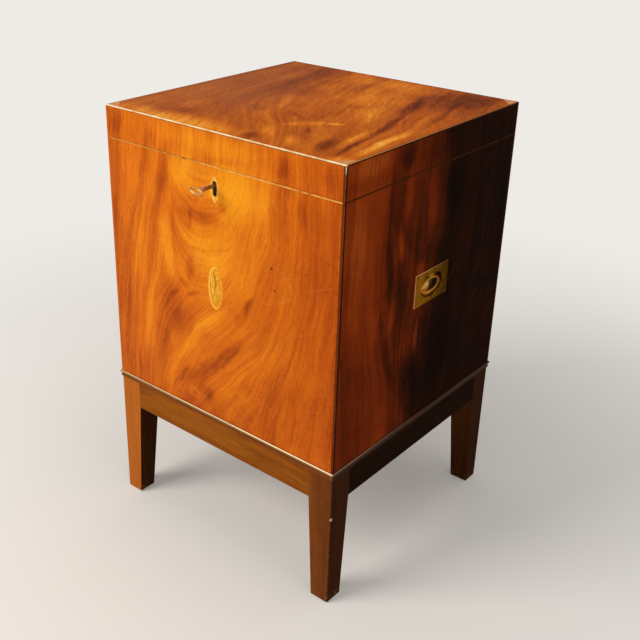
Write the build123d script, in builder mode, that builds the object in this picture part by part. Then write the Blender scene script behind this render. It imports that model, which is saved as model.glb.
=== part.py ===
from build123d import *
import os
from math import acos, cos, degrees, radians, sin, tan

# Antique cellarette: a square, veneered bottle chest with a hinged and locking lid, flush carrying
# handles on its two sides, and a low stand with tapered legs. Millimetres, +Z up, front towards -Y.
# The origin lies on the floor at the centre of the whole plan, with the key that stands out in front.

# Case and lid, the driving dimensions
case_width = 430.0
case_depth = 424.0
case_height = 392.0
lid_height = 47.0
board = 14.0
veneer = 1.5
lid_board = 12.0

# Bottom board and bottle dividers
bottom_board = 12.0
bottom_rise = 8.0
bottom_groove = 5.0
cells_each_way = 3
divider = 8.0
divider_height = 180.0
divider_housing = 3.0

# Dovetails
case_tails = 5
lid_tails = 2
tail_share = 0.6
tail_slope = 0.14

# Stringing and inlay
corner_string = 3.5
rim_string = 1.6
edge_string = 2.2
edge_round = 0.8
patch_leg = 23.0
seam_gap = 0.5
glue_line = 0.1
ornament_drop = 178.0
patera_width = 27.0
patera_height = 65.0
patera_shift = -1.0
patera_border = 1.8
escutcheon_width = 16.5
escutcheon_height = 38.5
escutcheon_drop = 32.6
keyhole_width = 7.7
keyhole_height = 22.0
keyhole_drop = 31.4

# Stand
stand_height = 225.0
leg_top = 40.0
leg_foot = 29.8
leg_round = 2.5
foot_chamfer = 2.0
apron_height = 53.0
apron_thickness = 20.0
tenon_thickness = 8.0
tenon_length = 20.0
tenon_inset = 7.0
tenon_shoulder = 6.0
tenon_haunch = 10.0
moulding_proud = 2.2
moulding_seat = 6.0
moulding_drop = 7.0
lip_rise = 3.0
lip_height = 4.5
lip_nose = 0.8
fillet_height = 2.2
fillet_proud = 1.2
cove_proud = 0.3
lip_clearance = 0.3

# Hinges
hinge_out = 1.0
hinge_spacing = 250.0
hinge_length = 40.0
hinge_leaf = 1.6
knuckle_radius = 3.0
knuckle_count = 5
knuckle_gap = 0.2
hinge_pin_radius = 1.3
hinge_relief = 0.4
hinge_screw_spacing = 13.0
stop_angle = 49.5
stop_reach = 5.0
stop_thickness = 1.2
stop_root = 2.0

# Screws
hinge_screw_head = 2.4
hinge_screw_shank = 1.25
hinge_screw_length = 12.0
handle_screw_head = 3.0
handle_screw_shank = 1.5
handle_screw_length = 12.0
lock_screw_head = 2.6
lock_screw_shank = 1.3
lock_screw_length = 7.0
screw_slot = 0.7
screw_slot_depth = 0.8
screw_sink = 0.1
countersink_angle = 90.0
screw_clearance = 0.05

# Running fit of a pin or shank in its hole, on the radius
running_fit = 0.05

# Handles
handle_shift = 4.5
plate_width = 85.0
plate_height = 50.5
plate_let_in = 2.0
plate_proud = 1.0
plate_bevel = 0.8
plate_screw_inset = 5.5
dish_width = 57.0
dish_height = 36.0
dish_depth = 8.0
dish_wall = 1.2
dish_taper = 12.0
dish_round = 2.4
dish_clearance = 0.2
ring_width = 49.0
ring_height = 26.2
ring_band = 4.4
ring_thickness = 4.0
ring_round = 1.7
ring_drop = 2.5
ring_neck_width = 9.0
barrel_radius = 2.6
barrel_length = 11.6
lug_radius = 2.4
lug_thickness = 2.4
lug_gap = 0.3
pivot_drop = 4.2
pivot_depth = 3.4
pivot_radius = 1.2

# Lock, let into the back of the front board
key_drop = 26.5
lock_plate_width = 70.0
lock_plate_height = 45.0
lock_plate_thickness = 1.5
selvedge_thickness = 2.0
pan_width = 58.0
pan_height = 39.0
pan_depth = 8.0
pan_wall = 1.5
drill_pin_radius = 1.0
bolt_travel = 8.0
bolt_thickness = 3.5
bolt_height = 8.5
bolt_gap = 0.3
bolt_tail = 20.5
bolt_post = 4.0
bolt_finger = 2.0
bolt_finger_height = 3.0
bolt_lift = 6.5
link_plate_width = 64.0
link_thickness = 2.0
staple_spacing = 26.0
staple_thickness = 2.5
staple_depth = 5.0
staple_drop = 10.0
staple_wall = 1.3
staple_clearance = 0.6
eye_bottom = 1.7
eye_height = 4.2
spring_strip = 0.6
spring_width = 3.0
spring_place = 3.5
spring_reach = 6.0

# Key
key_rest_turn = 75.0
key_turn_range = 360.0
shank_radius = 2.7
shank_collar = 3.9
collar_length = 2.6
bow_centre_out = 33.5
bow_length = 15.0
bow_width = 24.0
bow_wire = 3.2
bow_round = 1.3
bit_radius = 9.0
bit_length = 4.8
bit_thickness = 2.6
bit_end_gap = 1.0
bit_ward = 1.6
bit_clearance = 0.5
drill_depth = 7.0

# Levels
apron_bottom = stand_height - apron_height
seam_z = stand_height + case_height
top_z = seam_z + lid_height
rail_top = top_z - veneer - lid_board
floor_top = stand_height + bottom_rise + bottom_board
ornament_z = seam_z - ornament_drop
key_z = seam_z - key_drop

# Plan
half_w = case_width / 2
key_reach = bow_centre_out + bow_length / 2
hinge_reach = hinge_out + max(knuckle_radius, stop_reach * cos(radians(stop_angle)))
front_y = (key_reach - max(moulding_proud, hinge_reach) - case_depth) / 2
back_y = front_y + case_depth
mid_y = (front_y + back_y) / 2
outer_x = half_w - veneer
inner_x = outer_x - board
outer_front = front_y + veneer
inner_front = outer_front + board
outer_back = back_y - veneer
inner_back = outer_back - board
hinge_y = back_y + hinge_out

# Spans that several pieces share
front_wall = (outer_front, inner_front)
back_wall = (inner_back, outer_back)
side_wall = {-1: (-outer_x, -inner_x), 1: (inner_x, outer_x)}
case_span = (stand_height, seam_z)
rail_span = (seam_z, rail_top)
lid_side_span = (seam_z + seam_gap, top_z - edge_string)

# The front face as a drawing plane: across is X, up is Z, and its normal points out of the front
front_face = Plane(origin=(0, front_y, 0), x_dir=(1, 0, 0), z_dir=(0, -1, 0))

os.makedirs("parts", exist_ok=True)


def save(piece, name):
    """Label a finished piece and write it under its own name."""
    piece.part.label = name
    export_step(piece.part, f"parts/{name}.step")


def block(x, y, z, mode=Mode.ADD):
    """A box between a low and a high value on each axis, in the part being built."""
    with Locations((sum(x) / 2, sum(y) / 2, sum(z) / 2)):
        Box(x[1] - x[0], y[1] - y[0], z[1] - z[0], mode=mode)


def dovetails(x, shoulder_y, end_y, z, count, mode=Mode.ADD):
    """Tails that run from a shoulder to an end in Y, through a side board's thickness x."""
    pitch = (z[1] - z[0]) / count
    root = pitch * tail_share / 2
    tip = root + abs(end_y - shoulder_y) * tail_slope
    with BuildSketch(Plane.YZ.offset(x[0])) as tails:
        for i in range(count):
            middle = z[0] + (i + 0.5) * pitch
            with BuildLine():
                Polyline(
                    (shoulder_y, middle - root),
                    (end_y, middle - tip),
                    (end_y, middle + tip),
                    (shoulder_y, middle + root),
                    close=True,
                )
            make_face()
    extrude(tails.sketch, amount=x[1] - x[0], mode=mode)


def side_tails(z, count, mode=Mode.ADD):
    """The tails of both side boards at both ends."""
    for side in (-1, 1):
        dovetails(side_wall[side], inner_front, outer_front, z, count, mode)
        dovetails(side_wall[side], inner_back, outer_back, z, count, mode)


def corner_squares(z, mode=Mode.ADD):
    """The square strings, or their rebates, down the four corners."""
    for x in ((-half_w, -half_w + corner_string), (half_w - corner_string, half_w)):
        for y in ((front_y, front_y + corner_string), (back_y - corner_string, back_y)):
            block(x, y, z, mode)


def screw_set(planes, head, shank, length):
    """Countersunk, slotted wood screws with their heads just under the given planes."""
    for plane in planes:
        with Locations(plane.offset(-screw_sink).location):
            Cylinder(shank, length, align=(Align.CENTER, Align.CENTER, Align.MAX))
            Cone(shank, head, head - shank, align=(Align.CENTER, Align.CENTER, Align.MAX))
            Box(
                2 * head,
                screw_slot,
                screw_slot_depth,
                align=(Align.CENTER, Align.CENTER, Align.MAX),
                mode=Mode.SUBTRACT,
            )


def screw_holes(planes, head, shank, depth):
    """Countersunk holes for the screws, as deep as the metal that they pass."""
    mouth = head + screw_sink + screw_clearance
    for plane in planes:
        with Locations(plane.location):
            CounterSinkHole(shank + screw_clearance, mouth, depth, countersink_angle)


def pilot_holes(planes, shank, length):
    """Plain holes in the wood for the screws' shanks."""
    for plane in planes:
        with Locations(plane.location):
            Hole(shank + screw_clearance, length + screw_sink + screw_clearance)


# Stand


def leg(side, end):
    """A square leg, straight beside the aprons and tapered below them on its two inner faces."""
    corner_x = side * half_w
    corner_y = mid_y + end * case_depth / 2

    def middle(size):
        return (corner_x - side * size / 2, corner_y - end * size / 2)

    with BuildPart() as piece:
        with BuildSketch(Plane.XY):
            with Locations(middle(leg_foot)):
                Rectangle(leg_foot, leg_foot)
        with BuildSketch(Plane.XY.offset(apron_bottom)):
            with Locations(middle(leg_top)):
                Rectangle(leg_top, leg_top)
        loft()
        with BuildSketch(Plane.XY.offset(apron_bottom)):
            with Locations(middle(leg_top)):
                Rectangle(leg_top, leg_top)
        extrude(amount=apron_height)
        arris = piece.edges().filter_by(Axis.Z).sort_by_distance((corner_x, corner_y, apron_bottom))[0]
        fillet(arris, leg_round)
        chamfer(piece.faces().sort_by(Axis.Z)[0].edges(), foot_chamfer)
        apron_tenons(Mode.SUBTRACT)
        moulding_rebate()
    return piece


def apron_tenons(mode=Mode.ADD):
    """The tenons of all four aprons, added to an apron or cut out of a leg as mortises."""
    inner = half_w - leg_top
    z = (apron_bottom + tenon_shoulder, stand_height - tenon_haunch)
    for side in (-1, 1):
        across = sorted((side * inner, side * (inner + tenon_length)))
        for face, inward in ((front_y, 1), (back_y, -1)):
            block(across, tenon_span(face, inward), z, mode)
        for face, inward in ((front_y, 1), (back_y, -1)):
            shoulder = face + inward * leg_top
            along = sorted((shoulder, shoulder - inward * tenon_length))
            block(tenon_span(side * half_w, -side), along, z, mode)


def tenon_span(face, inward):
    """Where a tenon lies through the thickness of its apron, counted in from the outer face."""
    return sorted((face + inward * tenon_inset, face + inward * (tenon_inset + tenon_thickness)))


def moulding_rebate():
    """Cut the rebate for the moulding round the stand's top outer edge."""
    z = (stand_height - moulding_drop, stand_height + lip_rise)
    x = (-half_w - lip_rise, half_w + lip_rise)
    y = (front_y - lip_rise, back_y + lip_rise)
    block(x, (y[0], front_y + moulding_seat), z, Mode.SUBTRACT)
    block(x, (back_y - moulding_seat, y[1]), z, Mode.SUBTRACT)
    block((x[0], -half_w + moulding_seat), y, z, Mode.SUBTRACT)
    block((half_w - moulding_seat, x[1]), y, z, Mode.SUBTRACT)


def cross_apron(face, inward):
    """The front or the back apron, with a tenon at each end."""
    inner = half_w - leg_top
    z = (apron_bottom + tenon_shoulder, stand_height - tenon_haunch)
    with BuildPart() as piece:
        y = sorted((face, face + inward * apron_thickness))
        block((-inner, inner), y, (apron_bottom, stand_height))
        block((-inner - tenon_length, inner + tenon_length), tenon_span(face, inward), z)
        moulding_rebate()
    return piece


def side_apron(side):
    """The left or the right apron, with a tenon at each end."""
    ends = (front_y + leg_top, back_y - leg_top)
    z = (apron_bottom + tenon_shoulder, stand_height - tenon_haunch)
    with BuildPart() as piece:
        x = sorted((side * half_w, side * (half_w - apron_thickness)))
        block(x, ends, (apron_bottom, stand_height))
        block(tenon_span(side * half_w, -side), (ends[0] - tenon_length, ends[1] + tenon_length), z)
        moulding_rebate()
    return piece


def moulding_strip(run, length):
    """One mitred strip of the stand's moulding. Its run plane lies on the outer face, X along it."""
    bottom = stand_height - moulding_drop
    lip_top = stand_height + lip_rise
    lip_bottom = lip_top - lip_height
    extra = moulding_proud + lip_rise
    end = run.origin + run.x_dir * (length / 2 + extra)
    with BuildPart() as piece:
        with BuildSketch(Plane(origin=end, x_dir=-run.y_dir, z_dir=-run.x_dir)):
            with BuildLine():
                Polyline(
                    (-moulding_seat, stand_height),
                    (-moulding_seat, bottom),
                    (fillet_proud, bottom),
                    (fillet_proud, bottom + fillet_height),
                    (cove_proud, bottom + fillet_height),
                    (cove_proud, lip_bottom),
                    (moulding_proud - lip_nose, lip_bottom),
                )
                ThreePointArc(
                    (moulding_proud - lip_nose, lip_bottom),
                    (moulding_proud, (lip_bottom + lip_top) / 2),
                    (moulding_proud - lip_nose, lip_top),
                )
                Polyline(
                    (moulding_proud - lip_nose, lip_top),
                    (lip_clearance, lip_top),
                    (lip_clearance, stand_height),
                    (-moulding_seat, stand_height),
                )
            make_face()
        extrude(amount=length + 2 * extra)
        for way in (-1, 1):
            inward = run.x_dir * -way - run.y_dir
            corner = run.origin + run.x_dir * (way * length / 2) + inward * (glue_line / 2)
            split(bisect_by=Plane(origin=corner, z_dir=inward), keep=Keep.TOP)
    return piece


def stand_moulding():
    """The four mitred strips that cap the stand and keep the case in place."""
    runs = (
        (Plane(origin=(0, front_y, 0), x_dir=(1, 0, 0)), case_width),
        (Plane(origin=(half_w, mid_y, 0), x_dir=(0, 1, 0)), case_depth),
        (Plane(origin=(0, back_y, 0), x_dir=(-1, 0, 0)), case_width),
        (Plane(origin=(-half_w, mid_y, 0), x_dir=(0, -1, 0)), case_depth),
    )
    strips = [moulding_strip(run, length).part for run, length in runs]
    with BuildPart() as piece:
        add(strips)
    return piece


# Case


def bottom_blank(mode=Mode.ADD):
    """The bottom board, or the groove that it stands in."""
    x = (-inner_x - bottom_groove, inner_x + bottom_groove)
    y = (inner_front - bottom_groove, inner_back + bottom_groove)
    block(x, y, (floor_top - bottom_board, floor_top), mode)


def divider_places(low, high):
    """The middles of the dividers that share a span into equal cells."""
    cell = (high - low - (cells_each_way - 1) * divider) / cells_each_way
    return [low + i * (cell + divider) - divider / 2 for i in range(1, cells_each_way)]


def fore_aft_blanks(mode=Mode.ADD):
    """The dividers that run from front to back, or their housings."""
    y = (inner_front - divider_housing, inner_back + divider_housing)
    for x in divider_places(-inner_x, inner_x):
        block((x - divider / 2, x + divider / 2), y, (floor_top, floor_top + divider_height), mode)


def cross_blanks(mode=Mode.ADD):
    """The dividers that run from side to side, or their housings."""
    x = (-inner_x - divider_housing, inner_x + divider_housing)
    for y in divider_places(inner_front, inner_back):
        block(x, (y - divider / 2, y + divider / 2), (floor_top, floor_top + divider_height), mode)


def divider_laps(low, high):
    """Cut the half laps where the dividers cross, between two levels."""
    for x in divider_places(-inner_x, inner_x):
        for y in divider_places(inner_front, inner_back):
            half = divider / 2
            block((x - half, x + half), (y - half, y + half), (low, high), Mode.SUBTRACT)


def fore_aft_dividers():
    with BuildPart() as piece:
        fore_aft_blanks()
        divider_laps(floor_top + divider_height / 2, floor_top + divider_height)
    return piece


def cross_dividers():
    with BuildPart() as piece:
        cross_blanks()
        divider_laps(floor_top, floor_top + divider_height / 2)
    return piece


def keyhole_outline():
    """Draw the keyhole's upright slot on the sketch being built."""
    with Locations((0, seam_z - keyhole_drop)):
        SlotOverall(keyhole_height, keyhole_width, rotation=90)


def case_front():
    """Front board, with the sockets for the tails, and let in for the lock."""
    with BuildPart() as piece:
        block((-outer_x, outer_x), front_wall, case_span)
        side_tails(case_span, case_tails, Mode.SUBTRACT)
        corner_squares(case_span, Mode.SUBTRACT)
        bottom_blank(Mode.SUBTRACT)
        fore_aft_blanks(Mode.SUBTRACT)
        with BuildSketch(front_face):
            keyhole_outline()
        extrude(amount=-(veneer + board), mode=Mode.SUBTRACT)
        lock_plate_blank(Mode.SUBTRACT)
        block(pan_x, pan_y, pan_z, Mode.SUBTRACT)
        pilot_holes(lock_screw_planes(), lock_screw_shank, lock_screw_length)
    return piece


def case_back():
    """Back board, let in for the hinges."""
    with BuildPart() as piece:
        block((-outer_x, outer_x), back_wall, case_span)
        side_tails(case_span, case_tails, Mode.SUBTRACT)
        corner_squares(case_span, Mode.SUBTRACT)
        bottom_blank(Mode.SUBTRACT)
        fore_aft_blanks(Mode.SUBTRACT)
        hinge_recesses(-1)
        pilot_holes(hinge_screw_planes(1), hinge_screw_shank, hinge_screw_length)
    return piece


def case_side(side):
    """Left or right board, with its tails, and let in for the handle."""
    with BuildPart() as piece:
        block(side_wall[side], (inner_front, inner_back), case_span)
        dovetails(side_wall[side], inner_front, outer_front, case_span, case_tails)
        dovetails(side_wall[side], inner_back, outer_back, case_span, case_tails)
        corner_squares(case_span, Mode.SUBTRACT)
        bottom_blank(Mode.SUBTRACT)
        cross_blanks(Mode.SUBTRACT)
        handle_pocket(side)
    return piece


def case_bottom():
    with BuildPart() as piece:
        bottom_blank()
    return piece


def case_front_veneer():
    """Front veneer, pierced for the escutcheon and the patera."""
    x = (-half_w + corner_string, half_w - corner_string)
    with BuildPart() as piece:
        block(x, (front_y, outer_front), (stand_height, seam_z - rim_string))
        with BuildSketch(front_face):
            escutcheon_outline()
            patera_ellipse(0)
        extrude(amount=-veneer, mode=Mode.SUBTRACT)
    return piece


def case_back_veneer():
    x = (-half_w + corner_string, half_w - corner_string)
    with BuildPart() as piece:
        block(x, (outer_back, back_y), case_span)
        hinge_recesses(-1)
    return piece


def side_veneer(side, z, pocketed):
    """A side veneer of the case, cut for the handle, or of the lid."""
    x = sorted((side * outer_x, side * half_w))
    with BuildPart() as piece:
        block(x, (front_y + corner_string, back_y - corner_string), z)
        if pocketed:
            handle_pocket(side)
    return piece


def corner_strings(z):
    """The dark square strings down the corners of the case or the lid."""
    with BuildPart() as piece:
        corner_squares(z)
    return piece


def case_rim_strings():
    """The pale strings let into the top edge of the front and side veneers."""
    z = (seam_z - rim_string, seam_z)
    y = (front_y + corner_string, back_y - corner_string)
    with BuildPart() as piece:
        block((-half_w + corner_string, half_w - corner_string), (front_y, outer_front), z)
        block((-half_w, -outer_x), y, z)
        block((outer_x, half_w), y, z)
    return piece


# Inlay on the front


def pointed_oval(width, height):
    """A pointed oval of two arcs about the current place, on the sketch being built."""
    with BuildSketch(mode=Mode.PRIVATE) as oval:
        with BuildLine():
            ThreePointArc((0, height / 2), (width / 2, 0), (0, -height / 2))
            ThreePointArc((0, -height / 2), (-width / 2, 0), (0, height / 2))
        make_face()
    return oval.sketch


def escutcheon_outline():
    with Locations((0, seam_z - escutcheon_drop)):
        add(pointed_oval(escutcheon_width, escutcheon_height))


def escutcheon():
    """Pale inlay round the keyhole."""
    with BuildPart() as piece:
        with BuildSketch(front_face) as outline:
            escutcheon_outline()
        extrude(outline.sketch, amount=-veneer)
        with BuildSketch(front_face) as hole:
            keyhole_outline()
        extrude(hole.sketch, amount=-veneer, mode=Mode.SUBTRACT)
    return piece


def patera_ellipse(inset):
    with Locations((patera_shift, ornament_z)):
        Ellipse(patera_width / 2 - inset, patera_height / 2 - inset)


# Leaves of the spray: across and up from the patera's middle, length, width and lean
patera_spray = (
    (-5.3, 3.5, 40.0, 6.0, 1.5),
    (2.0, 24.0, 8.0, 3.6, -48.0),
    (3.0, 16.5, 10.0, 4.2, -48.0),
    (3.9, 9.0, 12.0, 4.6, -50.0),
    (3.3, 1.5, 11.0, 4.2, -55.0),
    (5.9, -11.1, 24.0, 6.6, -18.0),
    (-0.3, -12.5, 21.0, 2.2, -20.0),
)


def spray_outline():
    """Draw the leaves on the sketch being built."""
    for across, up, length, width, lean in patera_spray:
        with Locations(Location((patera_shift + across, ornament_z + up), lean)):
            add(pointed_oval(width, length))


def patera_rim():
    with BuildPart() as piece:
        with BuildSketch(front_face) as outline:
            patera_ellipse(0)
            with Locations((patera_shift, ornament_z)):
                Ellipse(
                    patera_width / 2 - patera_border,
                    patera_height / 2 - patera_border,
                    mode=Mode.SUBTRACT,
                )
        extrude(outline.sketch, amount=-veneer)
    return piece


def patera_ground():
    with BuildPart() as piece:
        with BuildSketch(front_face) as outline:
            patera_ellipse(patera_border)
        extrude(outline.sketch, amount=-veneer)
        with BuildSketch(front_face) as leaves:
            spray_outline()
        extrude(leaves.sketch, amount=-veneer, mode=Mode.SUBTRACT)
    return piece


def patera_leaves():
    with BuildPart() as piece:
        with BuildSketch(front_face) as leaves:
            spray_outline()
        extrude(leaves.sketch, amount=-veneer)
    return piece


# Lock. Depths run back from the front face of the case to the inner face of the front board

lock_back = inner_front
plate_front = lock_back - lock_plate_thickness
pan_x = (-pan_width / 2, pan_width / 2)
pan_y = (plate_front - pan_depth, plate_front)
pan_z = (seam_z - selvedge_thickness - pan_height, seam_z - selvedge_thickness)
bolt_y = (plate_front - bolt_gap - bolt_thickness, plate_front - bolt_gap)
bolt_bottom = key_z + bolt_lift
bolt_top = bolt_bottom + bolt_height
finger_y = (bolt_y[0], bolt_y[0] + bolt_finger)
staple_middle = sum(finger_y) / 2
staple_y = (staple_middle - staple_depth / 2, staple_middle + staple_depth / 2)
eye_y = (staple_y[0] + staple_wall, staple_y[1] - staple_wall)
eye_z = (seam_z - staple_drop + eye_bottom, seam_z - staple_drop + eye_bottom + eye_height)
finger_middle = sum(eye_z) / 2
finger_z = (finger_middle - bolt_finger_height / 2, finger_middle + bolt_finger_height / 2)
staple_places = (-staple_spacing / 2, staple_spacing / 2)
rest_share = key_rest_turn / key_turn_range
staple_edges = [x + staple_thickness / 2 for x in staple_places]
post_gap = bolt_travel * (1 - rest_share) + bit_clearance


def lock_plate_blank(mode=Mode.ADD):
    """The lock's plate and its selvedge as plain blocks, or the recess for them."""
    x = (-lock_plate_width / 2, lock_plate_width / 2)
    block(x, (plate_front, lock_back), (seam_z - lock_plate_height, seam_z), mode)
    block(x, (pan_y[0], lock_back), (seam_z - selvedge_thickness, seam_z), mode)


def lock_screw_planes():
    """Where the lock's screws sit, on the plate's inner face beside the pan."""
    across = (lock_plate_width + pan_width) / 4
    up = (seam_z - lock_plate_height / 4, seam_z - 3 * lock_plate_height / 4)
    return [
        Plane(origin=(way * across, lock_back, z), x_dir=(1, 0, 0), z_dir=(0, 1, 0))
        for way in (-1, 1)
        for z in up
    ]


def lock_plate():
    """Plate and selvedge in one piece, slotted for the staples of the link plate."""
    with BuildPart() as piece:
        lock_plate_blank()
        for x in staple_places:
            reach = staple_thickness / 2 + staple_clearance
            y = (staple_y[0] - staple_clearance, staple_y[1] + staple_clearance / 2)
            block((x - reach, x + reach), y, (seam_z - selvedge_thickness, seam_z), Mode.SUBTRACT)
        screw_holes(lock_screw_planes(), lock_screw_head, lock_screw_shank, lock_plate_thickness)
    return piece


def lock_pan():
    """Open box behind the plate, with the keyhole that guides the key."""
    slot = bit_thickness + 2 * bit_clearance
    with BuildPart() as piece:
        block(pan_x, pan_y, pan_z)
        inside_x = (pan_x[0] + pan_wall, pan_x[1] - pan_wall)
        inside_y = (pan_y[0] + pan_wall, pan_y[1])
        block(inside_x, inside_y, (pan_z[0] + pan_wall, pan_z[1]), Mode.SUBTRACT)
        with BuildSketch(front_face) as hole:
            with Locations((0, key_z)):
                Circle(shank_radius + bit_clearance)
            with Locations((0, key_z - bit_radius / 2)):
                Rectangle(slot, bit_radius + 2 * bit_clearance)
        extrude(hole.sketch, amount=-(pan_y[0] + pan_wall - front_y), mode=Mode.SUBTRACT)
    return piece


def lock_bolt():
    """Sliding bolt: a bar with a talon for the key's bit, and a finger for each staple."""
    meet = degrees(acos(bolt_lift / bit_radius))
    half_turn_shift = bolt_travel * (180 - key_rest_turn) / key_turn_range
    sweep = bit_radius * sin(radians(meet)) - bolt_travel * meet / key_turn_range
    talon = sweep + bit_thickness / 2 + 2 * bit_clearance
    with BuildPart() as piece:
        block((-bolt_tail, max(staple_edges) + post_gap + bolt_post), bolt_y, (bolt_bottom, bolt_top))
        block(
            (half_turn_shift - talon, half_turn_shift + talon),
            bolt_y,
            (bolt_bottom, key_z + bit_radius + bit_clearance),
            Mode.SUBTRACT,
        )
        for edge in staple_edges:
            post = edge + post_gap
            block((post, post + bolt_post), bolt_y, (bolt_top, finger_z[1]))
            block((edge + 2 * bit_clearance, post), finger_y, finger_z)
    return piece


def lock_drill_pin():
    """Fixed pin that the hollow key turns on."""
    length = drill_depth - bit_clearance
    start = Plane(origin=(0, plate_front, key_z), x_dir=(1, 0, 0), z_dir=(0, -1, 0))
    with BuildPart() as piece:
        with BuildSketch(start) as pin:
            Circle(drill_pin_radius)
        extrude(pin.sketch, amount=length)
    return piece


def lock_spring():
    """Leaf spring under the selvedge that bears on the top of the bolt."""
    top = pan_z[1] - spring_strip / 2
    low = bolt_top + spring_strip / 2 + bolt_gap
    start = bolt_y[0]
    with BuildPart() as piece:
        with BuildSketch(Plane.XZ.offset(-start)) as strip:
            with BuildLine() as path:
                Polyline(
                    (spring_place, top),
                    (spring_place + spring_reach, top),
                    (spring_place, (top + low) / 2),
                    (spring_place + spring_reach, low),
                )
            trace(path.line, spring_strip)
        extrude(strip.sketch, amount=-spring_width)
    return piece


def lock_screws():
    with BuildPart() as piece:
        screw_set(lock_screw_planes(), lock_screw_head, lock_screw_shank, lock_screw_length)
    return piece


def link_screw_planes():
    """Where the link plate's screws sit, on its underside outside the staples."""
    across = (link_plate_width + staple_spacing) / 4
    middle = (pan_y[0] + lock_back) / 2
    return [
        Plane(origin=(way * across, middle, seam_z), x_dir=(1, 0, 0), z_dir=(0, 0, -1)) for way in (-1, 1)
    ]


def link_plate_blank(mode=Mode.ADD):
    x = (-link_plate_width / 2, link_plate_width / 2)
    block(x, (pan_y[0], lock_back), (seam_z, seam_z + link_thickness), mode)


def link_plate():
    """Plate under the lid's front rail, with two staples whose eyes take the bolt's fingers."""
    with BuildPart() as piece:
        link_plate_blank()
        for x in staple_places:
            span = (x - staple_thickness / 2, x + staple_thickness / 2)
            block(span, staple_y, (seam_z - staple_drop, seam_z))
            block(span, eye_y, eye_z, Mode.SUBTRACT)
        screw_holes(link_screw_planes(), lock_screw_head, lock_screw_shank, link_thickness)
    return piece


def link_plate_screws():
    with BuildPart() as piece:
        screw_set(link_screw_planes(), lock_screw_head, lock_screw_shank, hinge_screw_length)
    return piece


def key():
    """Hollow key with an oval bow, turned part way round as it stands in the lock."""
    turn = radians(key_rest_turn)
    bit_way = Vector(sin(turn), 0, -cos(turn))
    drawing = Plane(origin=(0, front_y, key_z), x_dir=bit_way, z_dir=bit_way.cross(Vector(0, -1, 0)))
    shank_end = front_y - plate_front + bolt_gap
    bow_start = bow_centre_out - bow_length / 2
    with BuildPart() as piece:
        with BuildSketch(drawing) as half:
            with BuildLine():
                Polyline(
                    (0, shank_end),
                    (shank_radius, shank_end),
                    (shank_radius, bow_start - 2 * collar_length),
                    (shank_collar, bow_start - 1.5 * collar_length),
                    (shank_collar, bow_start - collar_length),
                    (shank_radius, bow_start - collar_length / 2),
                    (shank_radius, bow_start + bow_wire / 2),
                    (0, bow_start + bow_wire / 2),
                    close=True,
                )
            make_face()
        revolve(half.sketch, axis=Axis(drawing.origin, drawing.y_dir))
        with BuildSketch(drawing) as bow:
            with Locations((0, bow_centre_out)):
                Ellipse(bow_width / 2, bow_length / 2)
                Ellipse(bow_width / 2 - bow_wire, bow_length / 2 - bow_wire, mode=Mode.SUBTRACT)
        extrude(bow.sketch, amount=bow_wire / 2, both=True)
        rims = piece.edges().filter_by(GeomType.ELLIPSE)
        fillet(rims, bow_round)
        bit_start = shank_end + bit_end_gap
        with BuildSketch(drawing) as bit:
            with Locations((bit_radius / 2, bit_start + bit_length / 2)):
                Rectangle(bit_radius, bit_length)
            with Locations((bit_radius, bit_start + bit_length / 2)):
                Rectangle(2 * bit_ward, bit_ward, mode=Mode.SUBTRACT)
        extrude(bit.sketch, amount=bit_thickness / 2, both=True)
        with BuildSketch(Plane(origin=(0, plate_front, key_z), z_dir=(0, -1, 0))) as bore:
            Circle(drill_pin_radius + running_fit)
        extrude(bore.sketch, amount=drill_depth, mode=Mode.SUBTRACT)
    return piece


# Handles

pivot_length = barrel_length + 2 * (lug_gap + lug_thickness)


def handle_face(side):
    """The outer face of a case side as a plane about the handle's middle, X along it and Y up."""
    origin = (side * half_w, mid_y + handle_shift, ornament_z)
    return Plane(origin=origin, x_dir=(0, side, 0), z_dir=(side, 0, 0))


def handle_screw_planes(side):
    """Where the four screws of a handle's plate sit, near its corners."""
    face = handle_face(side).offset(plate_proud)
    across = plate_width / 2 - plate_screw_inset
    up = plate_height / 2 - plate_screw_inset
    return [
        Plane(origin=face.from_local_coords(Vector(x, y, 0)), x_dir=face.x_dir, z_dir=face.z_dir)
        for x in (-across, across)
        for y in (-up, up)
    ]


def handle_pocket(side):
    """Cut the seat of the handle's plate and dish, and the holes for its screws."""
    face = handle_face(side)
    depth = dish_depth + dish_wall - plate_proud + dish_clearance
    with BuildSketch(face) as seat:
        Rectangle(plate_width, plate_height)
    extrude(seat.sketch, amount=-plate_let_in, mode=Mode.SUBTRACT)
    with BuildSketch(face) as dish:
        reach = dish_wall + dish_clearance
        Ellipse(dish_width / 2 + reach, dish_height / 2 + reach)
    extrude(dish.sketch, amount=-depth, mode=Mode.SUBTRACT)
    pilot_holes(handle_screw_planes(side), handle_screw_shank, handle_screw_length)


def pivot_plane(side):
    """A plane across the handle's pivot: its normal runs along the pin."""
    face = handle_face(side)
    place = Vector(0, dish_height / 2 - pivot_drop, plate_proud - pivot_depth)
    return Plane(origin=face.from_local_coords(place), x_dir=face.z_dir, z_dir=-face.x_dir)


def pivot_rod(side, radius, length, mode=Mode.ADD):
    """A round bar along the pivot, centred on the handle."""
    with BuildSketch(pivot_plane(side)) as rod:
        Circle(radius)
    extrude(rod.sketch, amount=length / 2, both=True, mode=mode)


def dish_blank(side, top, bottom, reach, mode=Mode.ADD):
    """An oval bowl between two heights over the handle's face, its wall leaning in on the way down."""
    lean = (top - bottom) * tan(radians(dish_taper))
    face = handle_face(side)
    with BuildSketch(face.offset(top)) as rim:
        Ellipse(dish_width / 2 + reach, dish_height / 2 + reach)
    with BuildSketch(face.offset(bottom)) as foot:
        Ellipse(dish_width / 2 + reach - lean, dish_height / 2 + reach - lean)
    loft([rim.sketch, foot.sketch], mode=mode)


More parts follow.
